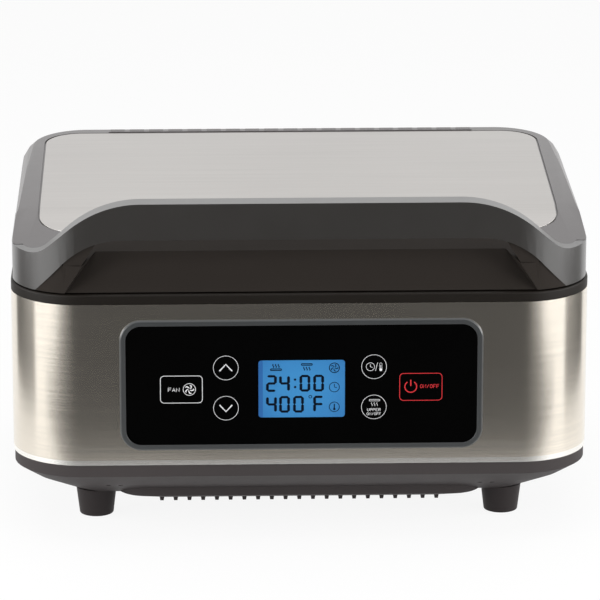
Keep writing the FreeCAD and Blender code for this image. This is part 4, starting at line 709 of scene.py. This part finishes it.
# The strokes of plain capitals, as spots across and up a box of one by one
BOWL = ((0, 0), (0, 1), (0.7, 1), (1, 0.88), (1, 0.62), (0.7, 0.48), (0, 0.48))
OVAL = (
    (0.5, 0), (0.14, 0.14), (0, 0.5), (0.14, 0.86), (0.5, 1), (0.86, 0.86), (1, 0.5), (0.86, 0.14), (0.5, 0)
)
LETTERS = {
    "/": (((0.1, 0), (0.9, 1)),),
    "A": (((0, 0), (0.5, 1), (1, 0)), ((0.2, 0.36), (0.8, 0.36))),
    "E": (((1, 0), (0, 0), (0, 1), (1, 1)), ((0, 0.5), (0.85, 0.5))),
    "F": (((0, 0), (0, 1), (1, 1)), ((0, 0.5), (0.85, 0.5))),
    "N": (((0, 0), (0, 1), (1, 0), (1, 1)),),
    "O": (OVAL,),
    "P": (BOWL,),
    "R": (BOWL, ((0.5, 0.48), (1, 0))),
    "U": (((0, 1), (0, 0.25), (0.25, 0), (0.75, 0), (1, 0.25), (1, 1)),),
}
# How much of its share of the word a letter fills
LETTER_WIDTH = 0.7

# Which bars of a seven-bar figure are lit
FIGURES = {
    "0": "abcdef",
    "2": "abged",
    "4": "fgbc",
    "F": "aefg",
}
# How long and how thin a bar's points are, as shares of its width
POINT_LENGTH = 0.36
POINT_WIDTH = 0.3
# How many straight parts an arc has
ARC_STEPS = 28


@dataclass(frozen=True)
class Word:
    """A word in plain capitals: its text, its middle, its whole size and its line, in millimetres."""

    text: str
    x: float
    z: float
    width: float
    height: float
    line: float


@dataclass(frozen=True)
class Pen:
    """Draws flat marks on an upright face that looks towards -Y.

    Both sizes are in metres: the face's place on Y, and how far a mark stands before it.
    """

    face: float
    thickness: float = 0.12 * MM

    def stroke(
        self, points: Sequence[Spot], width: float, closed: bool = False, pointed: bool = False
    ) -> Piece:
        """A line of even width.

        Args:
            points: its corners, as x and z in millimetres.
            width: in millimetres.
            closed: whether its end meets its start.
            pointed: whether both ends run to a point, as on a display's segment.

        Returns:
            The line as a mesh.
        """
        if pointed:
            start, end = (Vector(spot) for spot in points)
            back = (end - start) * (POINT_LENGTH * width / (end - start).length)
            points = [start, start + back, end - back, end]
        curve = bpy.data.curves.new("line", "CURVE")
        curve.dimensions = "3D"
        curve.bevel_depth = width / 2 * MM
        curve.bevel_resolution = 1
        curve.use_fill_caps = True
        line = curve.splines.new("POLY")
        line.points.add(len(points) - 1)
        for point, (x, z) in zip(line.points, points):
            point.co = (x * MM, 0, z * MM, 1)
        if pointed:
            line.points[0].radius = POINT_WIDTH
            line.points[-1].radius = POINT_WIDTH
        line.use_cyclic_u = closed
        flat = Matrix.Diagonal((1, self.thickness / (width * MM), 1, 1))
        return from_curve(curve, "mark", Matrix.Translation((0, self.face - self.thickness / 2, 0)) @ flat)

    def ring(self, x: float, z: float, radius: float, width: float, steps: int = 36) -> Piece:
        """A thin circle."""
        return self.stroke(circle(x, z, radius, steps), width, closed=True)

    def arc(self, x: float, z: float, radius: float, start: float, end: float, width: float) -> Piece:
        """Part of a circle, from one angle to another in degrees."""
        angles = [math.radians(start + (end - start) * i / ARC_STEPS) for i in range(ARC_STEPS + 1)]
        return self.stroke([on_circle(x, z, radius, angle) for angle in angles], width)

    def box_line(self, low: Spot, high: Spot, radius: float, width: float) -> Piece:
        """The outline of a box with round corners."""
        return self.stroke(round_box(low, high, radius), width, closed=True)

    def patch(self, outline: Sequence[Spot]) -> Piece:
        """A filled flat shape, from its corners in order."""
        stand = standing(self.face - self.thickness / 2)
        return from_curve(drawn(outline, self.thickness, "patch"), "mark", stand)

    def disc(self, x: float, z: float, radius: float, steps: int = 16) -> Piece:
        """A filled circle."""
        return self.patch(circle(x, z, radius, steps))

    def write(self, word: Word) -> list[Piece]:
        """A word in single strokes.

        Args:
            word: the word, of the letters in LETTERS.

        Returns:
            Its strokes as meshes.
        """
        pitch = word.width / (len(word.text) - 1 + LETTER_WIDTH)
        strokes = []
        for place, letter in enumerate(word.text):
            left = word.x - word.width / 2 + place * pitch
            for spots in LETTERS[letter]:
                corners = [
                    (left + across * pitch * LETTER_WIDTH, word.z + (up - 0.5) * word.height)
                    for across, up in spots
                ]
                strokes.append(self.stroke(corners, word.line))
        return strokes


def dress(obj: Piece, material: bpy.types.Material, body: str) -> Piece:
    """Finish a piece.

    Args:
        obj: the piece.
        material: its material.
        body: the body that it rides on.

    Returns:
        The same piece.
    """
    obj.data.materials.clear()
    obj.data.materials.append(material)
    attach(obj, body)
    LOG.info("%s: %d faces", obj.name, len(obj.data.polygons))
    return obj


def welded(obj: Piece, flat: float) -> None:
    """Merge a mesh's doubled corners, join its flat faces and turn all of them outwards.

    Args:
        obj: the piece.
        flat: up to how many degrees neighbouring faces count as flat, or 0 to join none.
    """
    clear_normals = obj.data.has_custom_normals
    with all_selected(obj):
        if clear_normals:
            bpy.ops.mesh.customdata_custom_splitnormals_clear()
        bpy.ops.mesh.remove_doubles(threshold=SAME_CORNER)
        if flat:
            bpy.ops.mesh.dissolve_limited(angle_limit=math.radians(flat))
        bpy.ops.mesh.normals_make_consistent(inside=False)


def rounded(obj: Piece, radius: float, steps: int = 2) -> None:
    """Round a piece's sharp edges over and shade the rest smooth.

    Args:
        obj: the piece.
        radius: of the rounding, in millimetres.
        steps: how many faces the rounding has.
    """
    only(obj)
    bpy.ops.object.shade_smooth_by_angle(angle=SHARP)
    rounding = obj.modifiers.new("rounding", "BEVEL")
    rounding.width = radius * MM
    rounding.segments = steps
    rounding.limit_method = "ANGLE"
    rounding.angle_limit = SHARP
    rounding.use_clamp_overlap = True
    rounding.harden_normals = True
    bpy.ops.object.modifier_apply(modifier=rounding.name)


def cut(obj: Piece, place: Sequence[float], facing: Sequence[float], drop: bool = False) -> None:
    """Cut a mesh along a plane.

    Args:
        obj: the piece.
        place: a point of the plane, in metres.
        facing: the way that the plane faces.
        drop: whether the part that lies on the side it faces is taken away and the cut closed.
    """
    with all_selected(obj):
        bpy.ops.mesh.bisect(plane_co=place, plane_no=facing, use_fill=drop, clear_outer=drop)


def filleted(corners: Sequence[Corner], steps: int) -> list[Spot]:
    """A closed outline with its corners rounded.

    Args:
        corners: each corner's two places and the radius there, 0 where it stays sharp.
        steps: how many parts each round has.

    Returns:
        The outline's points.
    """
    outline: list[Spot] = []
    for index, (x, z, radius) in enumerate(corners):
        if radius <= 0:
            outline.append((x, z))
            continue
        here = Vector((x, z))
        before = (Vector(corners[index - 1][:2]) - here).normalized()
        after = (Vector(corners[(index + 1) % len(corners)][:2]) - here).normalized()
        half = before.angle(after) / 2
        centre = here + (before + after).normalized() * (radius / math.sin(half))
        reach = radius / math.tan(half)
        start, end = here + before * reach - centre, here + after * reach - centre
        for step in range(steps + 1):
            spoke = start.lerp(end, step / steps).normalized() * radius
            outline.append(tuple(centre + spoke))
    return outline


def slab(outline: Sequence[Spot], thickness: float, stand: Matrix, name: str) -> Piece:
    """A solid of even section.

    Args:
        outline: its section, in millimetres.
        thickness: in millimetres.
        stand: the place of its middle, and its turn.
        name: the piece's name.

    Returns:
        The solid.
    """
    obj = from_curve(drawn(outline, thickness * MM, name), name, stand)
    welded(obj, FLAT)
    return obj


class Carving(Enum):
    """What a piece keeps when another is put through it."""

    THE_REST = "DIFFERENCE"
    THE_SHARED = "INTERSECT"


def combine(obj: Piece, tool: Piece, keep: Carving) -> None:
    """Cut a piece by another, or keep what they share.

    Args:
        obj: the piece.
        tool: the other one, which is used up.
        keep: what the piece keeps.
    """
    only(obj)
    step = obj.modifiers.new("combine", "BOOLEAN")
    step.operation = keep.value
    step.solver = "EXACT"
    step.object = tool
    bpy.ops.object.modifier_apply(modifier=step.name)
    bpy.data.objects.remove(tool, do_unlink=True)


@dataclass
class Handle:
    """The handle band: an arch seen from the front, bent round the front of the lid, and its cheeks.

    Sizes are in millimetres. x is counted from the middle and depth from the front of the lid. The
    arch's corners have a radius as their third number. beyond, spare and backwards are how far the
    drawn sections run past the band at its sides, at its front and ends, and behind it.
    """

    side: float = 230.0
    corner: float = 57.0
    bar_depth: float = 18.0
    side_wall: float = 6.2
    inner_corner: float = 38.0
    shoulder: Corner = (160.6, 280.0, 88.0)
    elbow: Corner = (208.4, 237.0, 25.0)
    under: Corner = (170.7, 250.8, 64.0)
    foot: Corner = (210.8, 207.2, 0.0)
    cheek_width: Spot = (160.5, 188.0)
    cheek_height: Spot = (207.6, 249.5)
    cheek_depth: Spot = (1.2, 15.5)
    recess_low: Spot = (188.0, 207.2)
    recess_high: Spot = (165.0, 243.0)
    round_steps: int = 14
    inner_steps: int = 12
    beyond: float = 20.0
    spare: float = 5.0
    backwards: Spot = (150.0, 210.0)
    edge_radius: float = 1.2
    edge_steps: int = 3
    cheek_radius: float = 0.6

    def arch(self, low: float) -> list[Spot]:
        """The band's outline seen from the front.

        Args:
            low: its lowest level.

        Returns:
            Its corners, in order.
        """
        edge = self.side + self.beyond
        over = [(edge, low, 0.0), (edge, self.elbow[1], 0.0), self.elbow, self.shoulder]
        under = [self.under, self.foot]
        mirrored = [[(-x, z, radius) for x, z, radius in reversed(half)] for half in (over, under)]
        return filleted(over + mirrored[0] + mirrored[1] + under, self.round_steps)

    def band(self) -> None:
        """The bent band, which replaces the handle's node."""
        low, high = (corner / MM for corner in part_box("handle"))
        front, back, spare = low.y - self.spare, high.y, 2 * self.spare
        band = slab(self.arch(low.z), back - front, standing((front + back) / 2 * MM), "handle_band")
        level = Matrix.Translation((0, 0, (low.z + high.z) / 2 * MM))
        outer_back, inner_back = (back + reach for reach in self.backwards)
        outer = round_box((-self.side, low.y), (self.side, outer_back), self.corner, self.round_steps)
        combine(band, slab(outer, high.z - low.z + spare, level, "outer_plan"), Carving.THE_SHARED)
        wall = self.side - self.side_wall
        inner_low, inner_high = (-wall, low.y + self.bar_depth), (wall, inner_back)
        inner = round_box(inner_low, inner_high, self.inner_corner, self.inner_steps)
        combine(band, slab(inner, high.z - low.z + spare, level, "inner_plan"), Carving.THE_REST)
        rounded(band, self.edge_radius, self.edge_steps)
        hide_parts("handle")
        dress(band, finish("dark_plastic"), "lid")

    def cheek(self, sign: int) -> Piece:
        """The wedge below one end of the bar, flush with the recess beside it.

        Args:
            sign: -1 for the left end, 1 for the right end.

        Returns:
            The wedge.
        """
        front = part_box("lid_frame")[0].y
        spans = (self.cheek_width, self.cheek_depth, self.cheek_height)
        across, back, up = (sum(span) / 2 * MM for span in spans)
        bpy.ops.object.select_all(action="DESELECT")
        bpy.ops.mesh.primitive_cube_add(size=1.0, location=(sign * across, front + back, up))
        cheek = bpy.context.view_layer.objects.active
        cheek.scale = [(far - near) * MM for near, far in spans]
        applied(cheek)
        rise = self.recess_high[1] - self.recess_low[1]
        run = self.recess_low[0] - self.recess_high[0]
        inwards = Vector((-sign * rise, 0, -run)).normalized()
        cut(cheek, (sign * self.recess_low[0] * MM, 0, self.recess_low[1] * MM), inwards, drop=True)
        return cheek

    def build(self) -> None:
        """Build the band and both cheeks."""
        self.band()
        cheeks = joined([self.cheek(-1), self.cheek(1)], "recess_cheeks")
        rounded(cheeks, self.cheek_radius)
        # The cheeks take the darker recess plastic, painted as the shade under the bar's ends.
        dress(cheeks, finish("recess_shade_plastic"), "lid")


@dataclass(frozen=True)
class SoftCopy:
    """A piece taken over from its node, with its sharp edges rounded as on the real one.

    radius is in millimetres, and flat in degrees as welded() takes it. finish names one of FINISHES where
    the piece doesn't have its slot's own.
    """

    node: str
    body: str
    slot: str
    radius: float
    finish: str = ""
    flat: float = 1.0

    def build(self) -> Piece:
        """Make the piece.

        Returns:
            The finished piece, which replaces the node.
        """
        obj = bpy.data.objects.new(f"{self.node}_soft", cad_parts[self.node].data.copy())
        bpy.context.scene.collection.objects.link(obj)
        welded(obj, self.flat)
        rounded(obj, self.radius)
        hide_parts(self.node)
        return dress(obj, finish(self.finish or self.slot), self.body)


@dataclass
class Mouldings:
    """The outer pieces whose edges catch the light.

    A recess zone is half its width and its depth from the lid's front, in millimetres; the frame's faces
    inside one get darker plastic painted as the shade under the handle bar.
    """

    recess_shade_zones: tuple[Spot, ...] = ((192.0, 50.0), (217.0, 20.0))
    panel_shrink: float = 0.995
    frame_copy: SoftCopy = SoftCopy("lid_frame", "lid", "frame_plastic", 0.8)
    panel_copy: SoftCopy = SoftCopy("lid_top_panel", "lid", "pale_steel", 0.35)
    base_copies: tuple[SoftCopy, ...] = (
        SoftCopy("body_shell", "base", "champagne_steel", 0.5),
        # The trim ring takes the darker frame plastic that stands in for its dark reflection.
        SoftCopy("trim_ring", "base", "frame_plastic", 0.9, finish="ring_shade_plastic", flat=0.0),
        SoftCopy("panel_bezel", "base", "bezel_plastic", 0.7),
        SoftCopy("base_pan", "base", "base_plastic", 0.6),
    )
    foot_copies: tuple[SoftCopy, ...] = tuple(
        SoftCopy(f"foot_{end}_{side}", "base", "base_plastic", 0.8, finish="foot_plastic")
        for end in ("front", "back")
        for side in ("left", "right")
    )

    def lid_frame(self) -> None:
        """The lid frame, with darker matt plastic in its finger recess as painted shade under the handle
        bar.
        """
        obj = self.frame_copy.build()
        obj.data.materials.append(finish("recess_shade_plastic"))
        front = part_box("lid_frame")[0].y
        zones = [(half_width * MM, front + depth * MM) for half_width, depth in self.recess_shade_zones]
        for side, back in zones:
            cut(obj, (side, 0, 0), (1, 0, 0))
            cut(obj, (-side, 0, 0), (1, 0, 0))
            cut(obj, (0, back, 0), (0, 1, 0))
        # Painted shade: faces in the recess zones take the darker, matt recess plastic.
        for face in obj.data.polygons:
            if any(abs(face.center.x) < side and face.center.y < back for side, back in zones):
                face.material_index = 1

    def top_panel(self) -> None:
        """The lid's steel panel, drawn in a little so that the seam round it shows."""
        middle = sum(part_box("lid_top_panel"), Vector()) / 2
        shrink = (self.panel_shrink, self.panel_shrink, 1.0)
        with all_selected(self.panel_copy.build()):
            bpy.ops.transform.resize(value=shrink, center_override=middle)

    def build(self) -> None:
        """Build every outer moulding."""
        for piece in self.base_copies:
            piece.build()
        self.lid_frame()
        self.top_panel()
        for piece in self.foot_copies:
            piece.build()


@dataclass(frozen=True)
class Sign:
    """A small sign: its middle, its radius or whole size, and its line, in millimetres."""

    x: float
    z: float
    size: float
    line: float

    def fan(self, pen: Pen) -> list[Piece]:
        """A ring with five swept blades.

        Args:
            pen: the pen that draws it.

        Returns:
            Its meshes.
        """
        marks = [pen.ring(self.x, self.z, self.size, self.line)]
        inner, outer = self.size * 0.14, self.size * 0.78
        steps = (0.0, 0.25, 0.5, 0.75, 1.0)
        for start in range(0, 360, 72):
            front = [(t, start + 62 * t ** 0.8) for t in steps]
            back = [(t, start + 48 + 40 * t ** 1.6) for t in reversed(steps[1:])]
            marks.append(pen.patch([
                on_circle(self.x, self.z, inner + (outer - inner) * t, math.radians(angle))
                for t, angle in front + back
            ]))
        return marks

    def clock(self, pen: Pen) -> list[Piece]:
        """A ring with two hands.

        Args:
            pen: the pen that draws it.

        Returns:
            Its meshes.
        """
        x, z, size = self.x, self.z, self.size
        hands = [(x, z + size * 0.6), (x, z), (x + size * 0.5, z - size * 0.18)]
        return [pen.ring(x, z, size, self.line), pen.stroke(hands, self.line)]

    def heat(self, pen: Pen, upper: bool) -> list[Piece]:
        """Three waves of heat and a bar.

        Args:
            pen: the pen that draws it.
            upper: whether the bar is above the waves, for the upper element.

        Returns:
            Its meshes.
        """
        x, z, size = self.x, self.z, self.size
        bar_at = z + size * (0.24 if upper else -0.24)
        waves_at = z + size * (-0.16 if upper else 0.12)
        half, thick = size / 2, size * 0.07
        bar = (x - half, bar_at - thick), (x + half, bar_at + thick)
        marks = [pen.box_line(*bar, size * 0.06, self.line)]
        for shift in (-0.25, 0.0, 0.25):
            wave = [
                (x + size * (shift + 0.05 * math.sin(t * 2 * math.pi)), waves_at + size * 0.17 * (2 * t - 1))
                for t in (i / 10 for i in range(11))
            ]
            marks.append(pen.stroke(wave, self.line))
        return marks

    def thermometer(self, pen: Pen) -> list[Piece]:
        """A bulb and a stem.

        Args:
            pen: the pen that draws it.

        Returns:
            Its meshes.
        """
        x, z, size, line = self.x, self.z, self.size, self.line
        bulb, half = z - size * 0.32, size * 0.13
        return [
            pen.disc(x, bulb, size * 0.16),
            pen.stroke([(x, bulb), (x, z + size * 0.2)], line * 1.2),
            pen.box_line((x - half, bulb), (x + half, z + size * 0.46), size * 0.12, line * 0.7),
        ]


@dataclass
class ControlPanel:
    """The glass control panel's marks: the lit display, four round keys, the fan key and the power key.

    Places are x and z in millimetres in the object's frame, and face is the glass's place on Y in metres.
    A reading is its figures, their columns and their level. A dot ends with its radius, and a ring with
    its radius and its line.
    """

    face: float = field(default_factory=lambda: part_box("panel_glass")[0].y)
    window_low: Spot = (-34.3, 104.6)
    window_high: Spot = (34.4, 151.9)
    window_radius: float = 2.4
    window_thickness: float = 0.14 * MM
    window_tones: tuple[Colour, Colour] = (srgb(44, 121, 174), srgb(26, 84, 142))

    figure_width: float = 8.6
    figure_height: float = 14.2
    bar_width: float = 2.2
    bar_gap: float = 0.06
    readings: tuple[tuple[str, tuple[float, ...], float], ...] = (
        ("2400", (-28.3, -17.9, -1.7, 9.2), 132.8),
        ("400F", (-28.3, -17.9, -6.8, 9.2), 115.4),
    )
    figure_thickness: float = 0.1 * MM
    figure_ink: PrintedInk = PrintedInk("display_ink", srgb(6, 16, 30))

    degree: tuple[float, ...] = (6.9, 121.6, 1.15, 0.6, 18)
    display_dots: tuple[Corner, ...] = ((-5.2, 129.7, 0.95), (-5.2, 135.9, 0.95), (26.0, 111.2, 0.95))
    display_rings: tuple[tuple[float, ...], ...] = ((26.0, 129.4, 4.0, 0.6), (26.0, 113.0, 4.0, 0.6))
    display_lines: tuple[Line, ...] = (
        (((26.0, 132.0), (26.0, 129.4), (28.0, 129.0)), 0.55),
        (((26.0, 111.4), (26.0, 115.4)), 0.9),
    )
    display_lower_heat: Sign = Sign(-20.4, 146.3, 8.6, 0.85)
    display_upper_heat: Sign = Sign(4.1, 146.3, 8.6, 0.85)
    display_fan: Sign = Sign(26.0, 145.4, 4.0, 0.75)

    key_columns: Spot = (-60.2, 57.5)
    key_rows: Spot = (146.0, 112.6)
    key_radius: float = 9.9
    key_line: float = 0.4
    key_steps: int = 64
    key_lines: tuple[Line, ...] = (
        (((-65.2, 143.4), (-60.2, 148.9), (-55.2, 143.4)), 1.15),
        (((-65.2, 115.2), (-60.2, 109.7), (-55.2, 115.2)), 1.15),
        (((58.7, 142.6), (60.3, 149.4)), 0.42),
    )
    key_clock: Sign = Sign(54.6, 146.0, 3.3, 0.42)
    key_thermometer: Sign = Sign(62.9, 145.8, 7.2, 0.4)
    key_heat: Sign = Sign(58.0, 116.2, 8.4, 0.42)
    key_words: tuple[Word, ...] = (
        Word("UPPER", 57.5, 110.3, 10.4, 2.1, 0.36),
        Word("ON/OFF", 57.5, 106.9, 11.2, 2.1, 0.36),
        Word("FAN", -101.6, 128.2, 8.8, 3.0, 0.5),
    )
    key_ink: PrintedInk = PrintedInk("key_light", srgb(196, 196, 198), 0.3)

    key_corner: float = 3.0
    fan_key: tuple[Spot, Spot] = ((-112.2, 117.2), (-78.9, 139.6))
    fan_key_line: float = 0.55
    fan_sign: Sign = Sign(-89.2, 128.4, 4.9, 0.5)
    power_key: tuple[Spot, Spot] = ((78.0, 117.8), (111.7, 140.2))
    power_key_line: float = 0.6
    power_arc: tuple[float, ...] = (86.8, 129.2, 4.7, 125, 415, 0.95)
    power_bar: Line = (((86.8, 129.8), (86.8, 135.0)), 0.95)
    power_word: Word = Word("ON/OFF", 101.8, 129.5, 15.0, 2.9, 0.48)
    power_ink: PrintedInk = PrintedInk("power_light", srgb(176, 44, 48), 0.45)

    def figure(self, pen: Pen, mark: str, x: float, middle: float) -> list[Piece]:
        """One figure of lit bars.

        Args:
            pen: the pen that draws it.
            mark: which one, of those in FIGURES.
            x: its left side.
            middle: its middle level.

        Returns:
            The bars.
        """
        inset, gap = self.bar_width / 2, self.bar_gap
        left, right = x + inset, x + self.figure_width - inset
        low, high = middle - self.figure_height / 2 + inset, middle + self.figure_height / 2 - inset
        bars = {
            "a": ((left + gap, high), (right - gap, high)),
            "b": ((right, high - gap), (right, middle + gap)),
            "c": ((right, middle - gap), (right, low + gap)),
            "d": ((left + gap, low), (right - gap, low)),
            "e": ((left, middle - gap), (left, low + gap)),
            "f": ((left, high - gap), (left, middle + gap)),
            "g": ((left + gap, middle), (right - gap, middle)),
        }
        return [pen.stroke(bars[bar], self.bar_width, pointed=True) for bar in FIGURES[mark]]

    def window(self) -> None:
        """The lit window behind the glass."""
        low, high = self.window_low, self.window_high
        glass = Pen(self.face, self.window_thickness).patch(round_box(low, high, self.window_radius))
        glass.name = "display_window"
        light = BacklitWindow(
            "display_light",
            *self.window_tones,
            half_width=(high[0] - low[0]) / 2 * MM,
            half_height=(high[1] - low[1]) / 2 * MM,
            middle=((low[0] + high[0]) / 2 * MM, 0.0, (low[1] + high[1]) / 2 * MM),
        )
        dress(glass, light.material(), "base")

    def figures(self) -> None:
        """The time, the heat and five small signs on the window."""
        pen = Pen(self.face - self.window_thickness, self.figure_thickness)
        marks = []
        for figures, columns, level in self.readings:
            for mark, x in zip(figures, columns):
                marks += self.figure(pen, mark, x, level)
        marks += [pen.disc(*dot) for dot in self.display_dots]
        marks += [pen.ring(*ring) for ring in (self.degree, *self.display_rings)]
        marks += [pen.stroke(*line) for line in self.display_lines]
        marks += self.display_lower_heat.heat(pen, upper=False)
        marks += self.display_upper_heat.heat(pen, upper=True)
        marks += self.display_fan.fan(pen)
        dress(joined(marks, "display_figures"), self.figure_ink.material(), "base")

    def white_keys(self) -> None:
        """The round keys and the fan key, with their arrows, signs and words."""
        pen, ring = Pen(self.face), (self.key_radius, self.key_line, self.key_steps)
        marks = [pen.ring(x, z, *ring) for x in self.key_columns for z in self.key_rows]
        marks += [pen.stroke(*line) for line in self.key_lines]
        marks += self.key_clock.clock(pen)
        marks += self.key_thermometer.thermometer(pen)
        marks += self.key_heat.heat(pen, upper=True)
        marks += self.fan_sign.fan(pen)
        marks.append(pen.box_line(*self.fan_key, self.key_corner, self.fan_key_line))
        for word in self.key_words:
            marks += pen.write(word)
        dress(joined(marks, "key_marks"), self.key_ink.material(), "base")

    def red_key(self) -> None:
        """The power key with its sign and word."""
        pen = Pen(self.face)
        marks = [
            pen.box_line(*self.power_key, self.key_corner, self.power_key_line),
            pen.arc(*self.power_arc),
            pen.stroke(*self.power_bar),
            *pen.write(self.power_word),
        ]
        dress(joined(marks, "power_key_marks"), self.power_ink.material(), "base")

    def build(self) -> None:
        """Draw the whole panel."""
        self.window()
        self.figures()
        self.white_keys()
        self.red_key()


def add_plane(name: str, size: float, place: Place, turn: Place = (0.0, 0.0, 0.0)) -> Piece:
    """Add a square plane.

    Args:
        name: the plane's name.
        size: the length of its sides, in metres.
        place: of its middle.
        turn: about X, Y and Z, in degrees.

    Returns:
        The plane.
    """
    bpy.ops.object.select_all(action="DESELECT")
    angles = [math.radians(angle) for angle in turn]
    bpy.ops.mesh.primitive_plane_add(size=size, location=place, rotation=angles)
    plane = bpy.context.view_layer.objects.active
    plane.name = name
    return plane


def aimed(name: str, data: bpy.types.ID, place: Place, way: Vector) -> Piece:
    """Put a lamp or camera into the scene.

    Args:
        name: the object's name.
        data: the lamp or camera.
        place: of the object, in metres.
        way: the way that it looks.

    Returns:
        The object.
    """
    obj = bpy.data.objects.new(name, data)
    obj.location = place
    obj.rotation_euler = way.to_track_quat("-Z", "Y").to_euler()
    bpy.context.scene.collection.objects.link(obj)
    return obj


@dataclass(frozen=True)
class SoftBox:
    """A rectangular lamp, with its place and aim in metres and its power in watts."""

    name: str
    place: Place
    aim: Place
    size: Spot
    power: float

    def build(self) -> None:
        """Hang the lamp."""
        data = bpy.data.lights.new(self.name, "AREA")
        data.shape = "RECTANGLE"
        data.size, data.size_y = self.size
        data.energy = self.power
        aimed(self.name, data, self.place, Vector(self.aim) - Vector(self.place))


@dataclass(frozen=True)
class GreyCard:
    """A grey card that only shows in gloss, as a photographer sets one up beside the picture."""

    name: str
    grey: float
    place: Place
    size: Spot
    turn: Place = (0.0, 0.0, 0.0)

    def build(self) -> None:
        """Set the card up."""
        card = add_plane(self.name, 1.0, self.place, self.turn)
        card.scale = (*self.size, 1.0)
        applied(card)
        shader = Shader(f"{self.name}_paint")
        cloud = shader.noise(shader.place(), 3.0, 2.0)
        tones = [(level, level, level) for level in (self.grey, self.grey * 1.1)]
        shader.feed(Base_Color=shader.blend(cloud, *tones), Roughness=0.9, Specular_IOR_Level=0.0)
        card.data.materials.append(shader.material)
        card.visible_camera = False
        card.visible_diffuse = False
        card.visible_shadow = False


@dataclass
class Studio:
    """The pale floor, the soft lights, the grey cards and the camera. Angles are in degrees."""

    eye: Place = (-0.0958, -3.48125, 1.1384)
    turn: float = 1.641
    tilt: float = 15.85
    lens: float = 260.5
    fill: float = 0.5
    floor_lift: float = 0.9
    cards: tuple[GreyCard, ...] = (
        GreyCard("front_floor_card", 0.06, (0.0, -1.12, 0.004), (1.15, 1.56)),
        GreyCard("front_card", 0.06, (0.0, -1.9, 0.8), (1.5, 1.6), (90, 0, 0)),
        GreyCard("left_card", 0.12, (-0.56, -0.03, 0.085), (0.16, 0.36), (0, 90, 0)),
        GreyCard("right_card", 0.12, (0.56, -0.03, 0.085), (0.16, 0.36), (0, 90, 0)),
    )
    lamps: tuple[SoftBox, ...] = (
        SoftBox("top_box", (0.0, 0.3, 2.2), (0.0, 0.0, 0.1), (2.6, 2.0), 20.0),
        SoftBox("left_box", (-1.6, -1.35, 0.75), (0.0, 0.0, 0.15), (0.75, 1.5), 18.0),
        SoftBox("right_box", (1.6, -1.35, 0.75), (0.0, 0.0, 0.15), (0.75, 1.5), 18.0),
        SoftBox("left_wall_box", (-1.4, -0.25, 0.4), (0.0, -0.1, 0.2), (0.8, 0.6), 8.0),
        SoftBox("right_wall_box", (1.4, -0.25, 0.4), (0.0, -0.1, 0.2), (0.8, 0.6), 8.0),
    )

    def camera(self) -> None:
        """The camera at the photograph's angle."""
        data = bpy.data.cameras.new("camera")
        data.lens = self.lens
        data.sensor_width = 36.0
        data.clip_end = 50.0
        data.dof.use_dof = False
        turn, tilt = math.radians(self.turn), math.radians(self.tilt)
        ahead = Vector((math.sin(turn) * math.cos(tilt), math.cos(turn) * math.cos(tilt), -math.sin(tilt)))
        bpy.context.scene.camera = aimed("camera", data, self.eye, ahead)

    def world(self) -> None:
        """White behind the object and in its gloss, and a plain soft fill light."""
        world = bpy.data.worlds.new("studio")
        bpy.context.scene.world = world
        world.use_nodes = True
        wiring = Wiring(world.node_tree)
        background = wiring.first("BACKGROUND")
        wiring.plug(background.inputs["Color"], (1.0, 1.0, 1.0))
        level = wiring.background_rays() * (1.0 - self.fill) + self.fill
        wiring.plug(background.inputs["Strength"], level)

    def floor(self) -> None:
        """A wide pale floor that takes the object's shadow."""
        floor = applied(add_plane("floor", 12.0, (0.0, 3.0, 0.0)))
        shader = Shader("floor_paint")
        cloud = shader.noise(shader.place(), 3.0, 2.0)
        shader.feed(Base_Color=shader.blend(cloud, (0.84, 0.84, 0.84), (0.87, 0.87, 0.87)), Roughness=0.9)
        white = shader.add("ShaderNodeEmission", {}, {"Color": (1.0, 1.0, 1.0), "Strength": 1.0})
        paint = Signal(shader, shader.surface.outputs[0])
        lift = shader.background_rays() * self.floor_lift
        mixed = shader.add("ShaderNodeMixShader", {}, {0: lift, 1: paint, 2: white})
        shader.plug(shader.first("OUTPUT_MATERIAL").inputs["Surface"], mixed)
        floor.data.materials.append(shader.material)

    def build(self) -> None:
        """Set up the studio."""
        self.camera()
        self.world()
        self.floor()
        for piece in (*self.cards, *self.lamps):
            piece.build()
        bpy.context.scene.view_settings.view_transform = "Standard"


def main() -> None:
    """Build and dress every sub-assembly in order."""
    logging.basicConfig(level=logging.INFO, format="%(message)s")
    dress_nodes()
    Mouldings().build()
    Handle().build()
    ControlPanel().build()
    Studio().build()


if __name__ == "__main__":
    main()
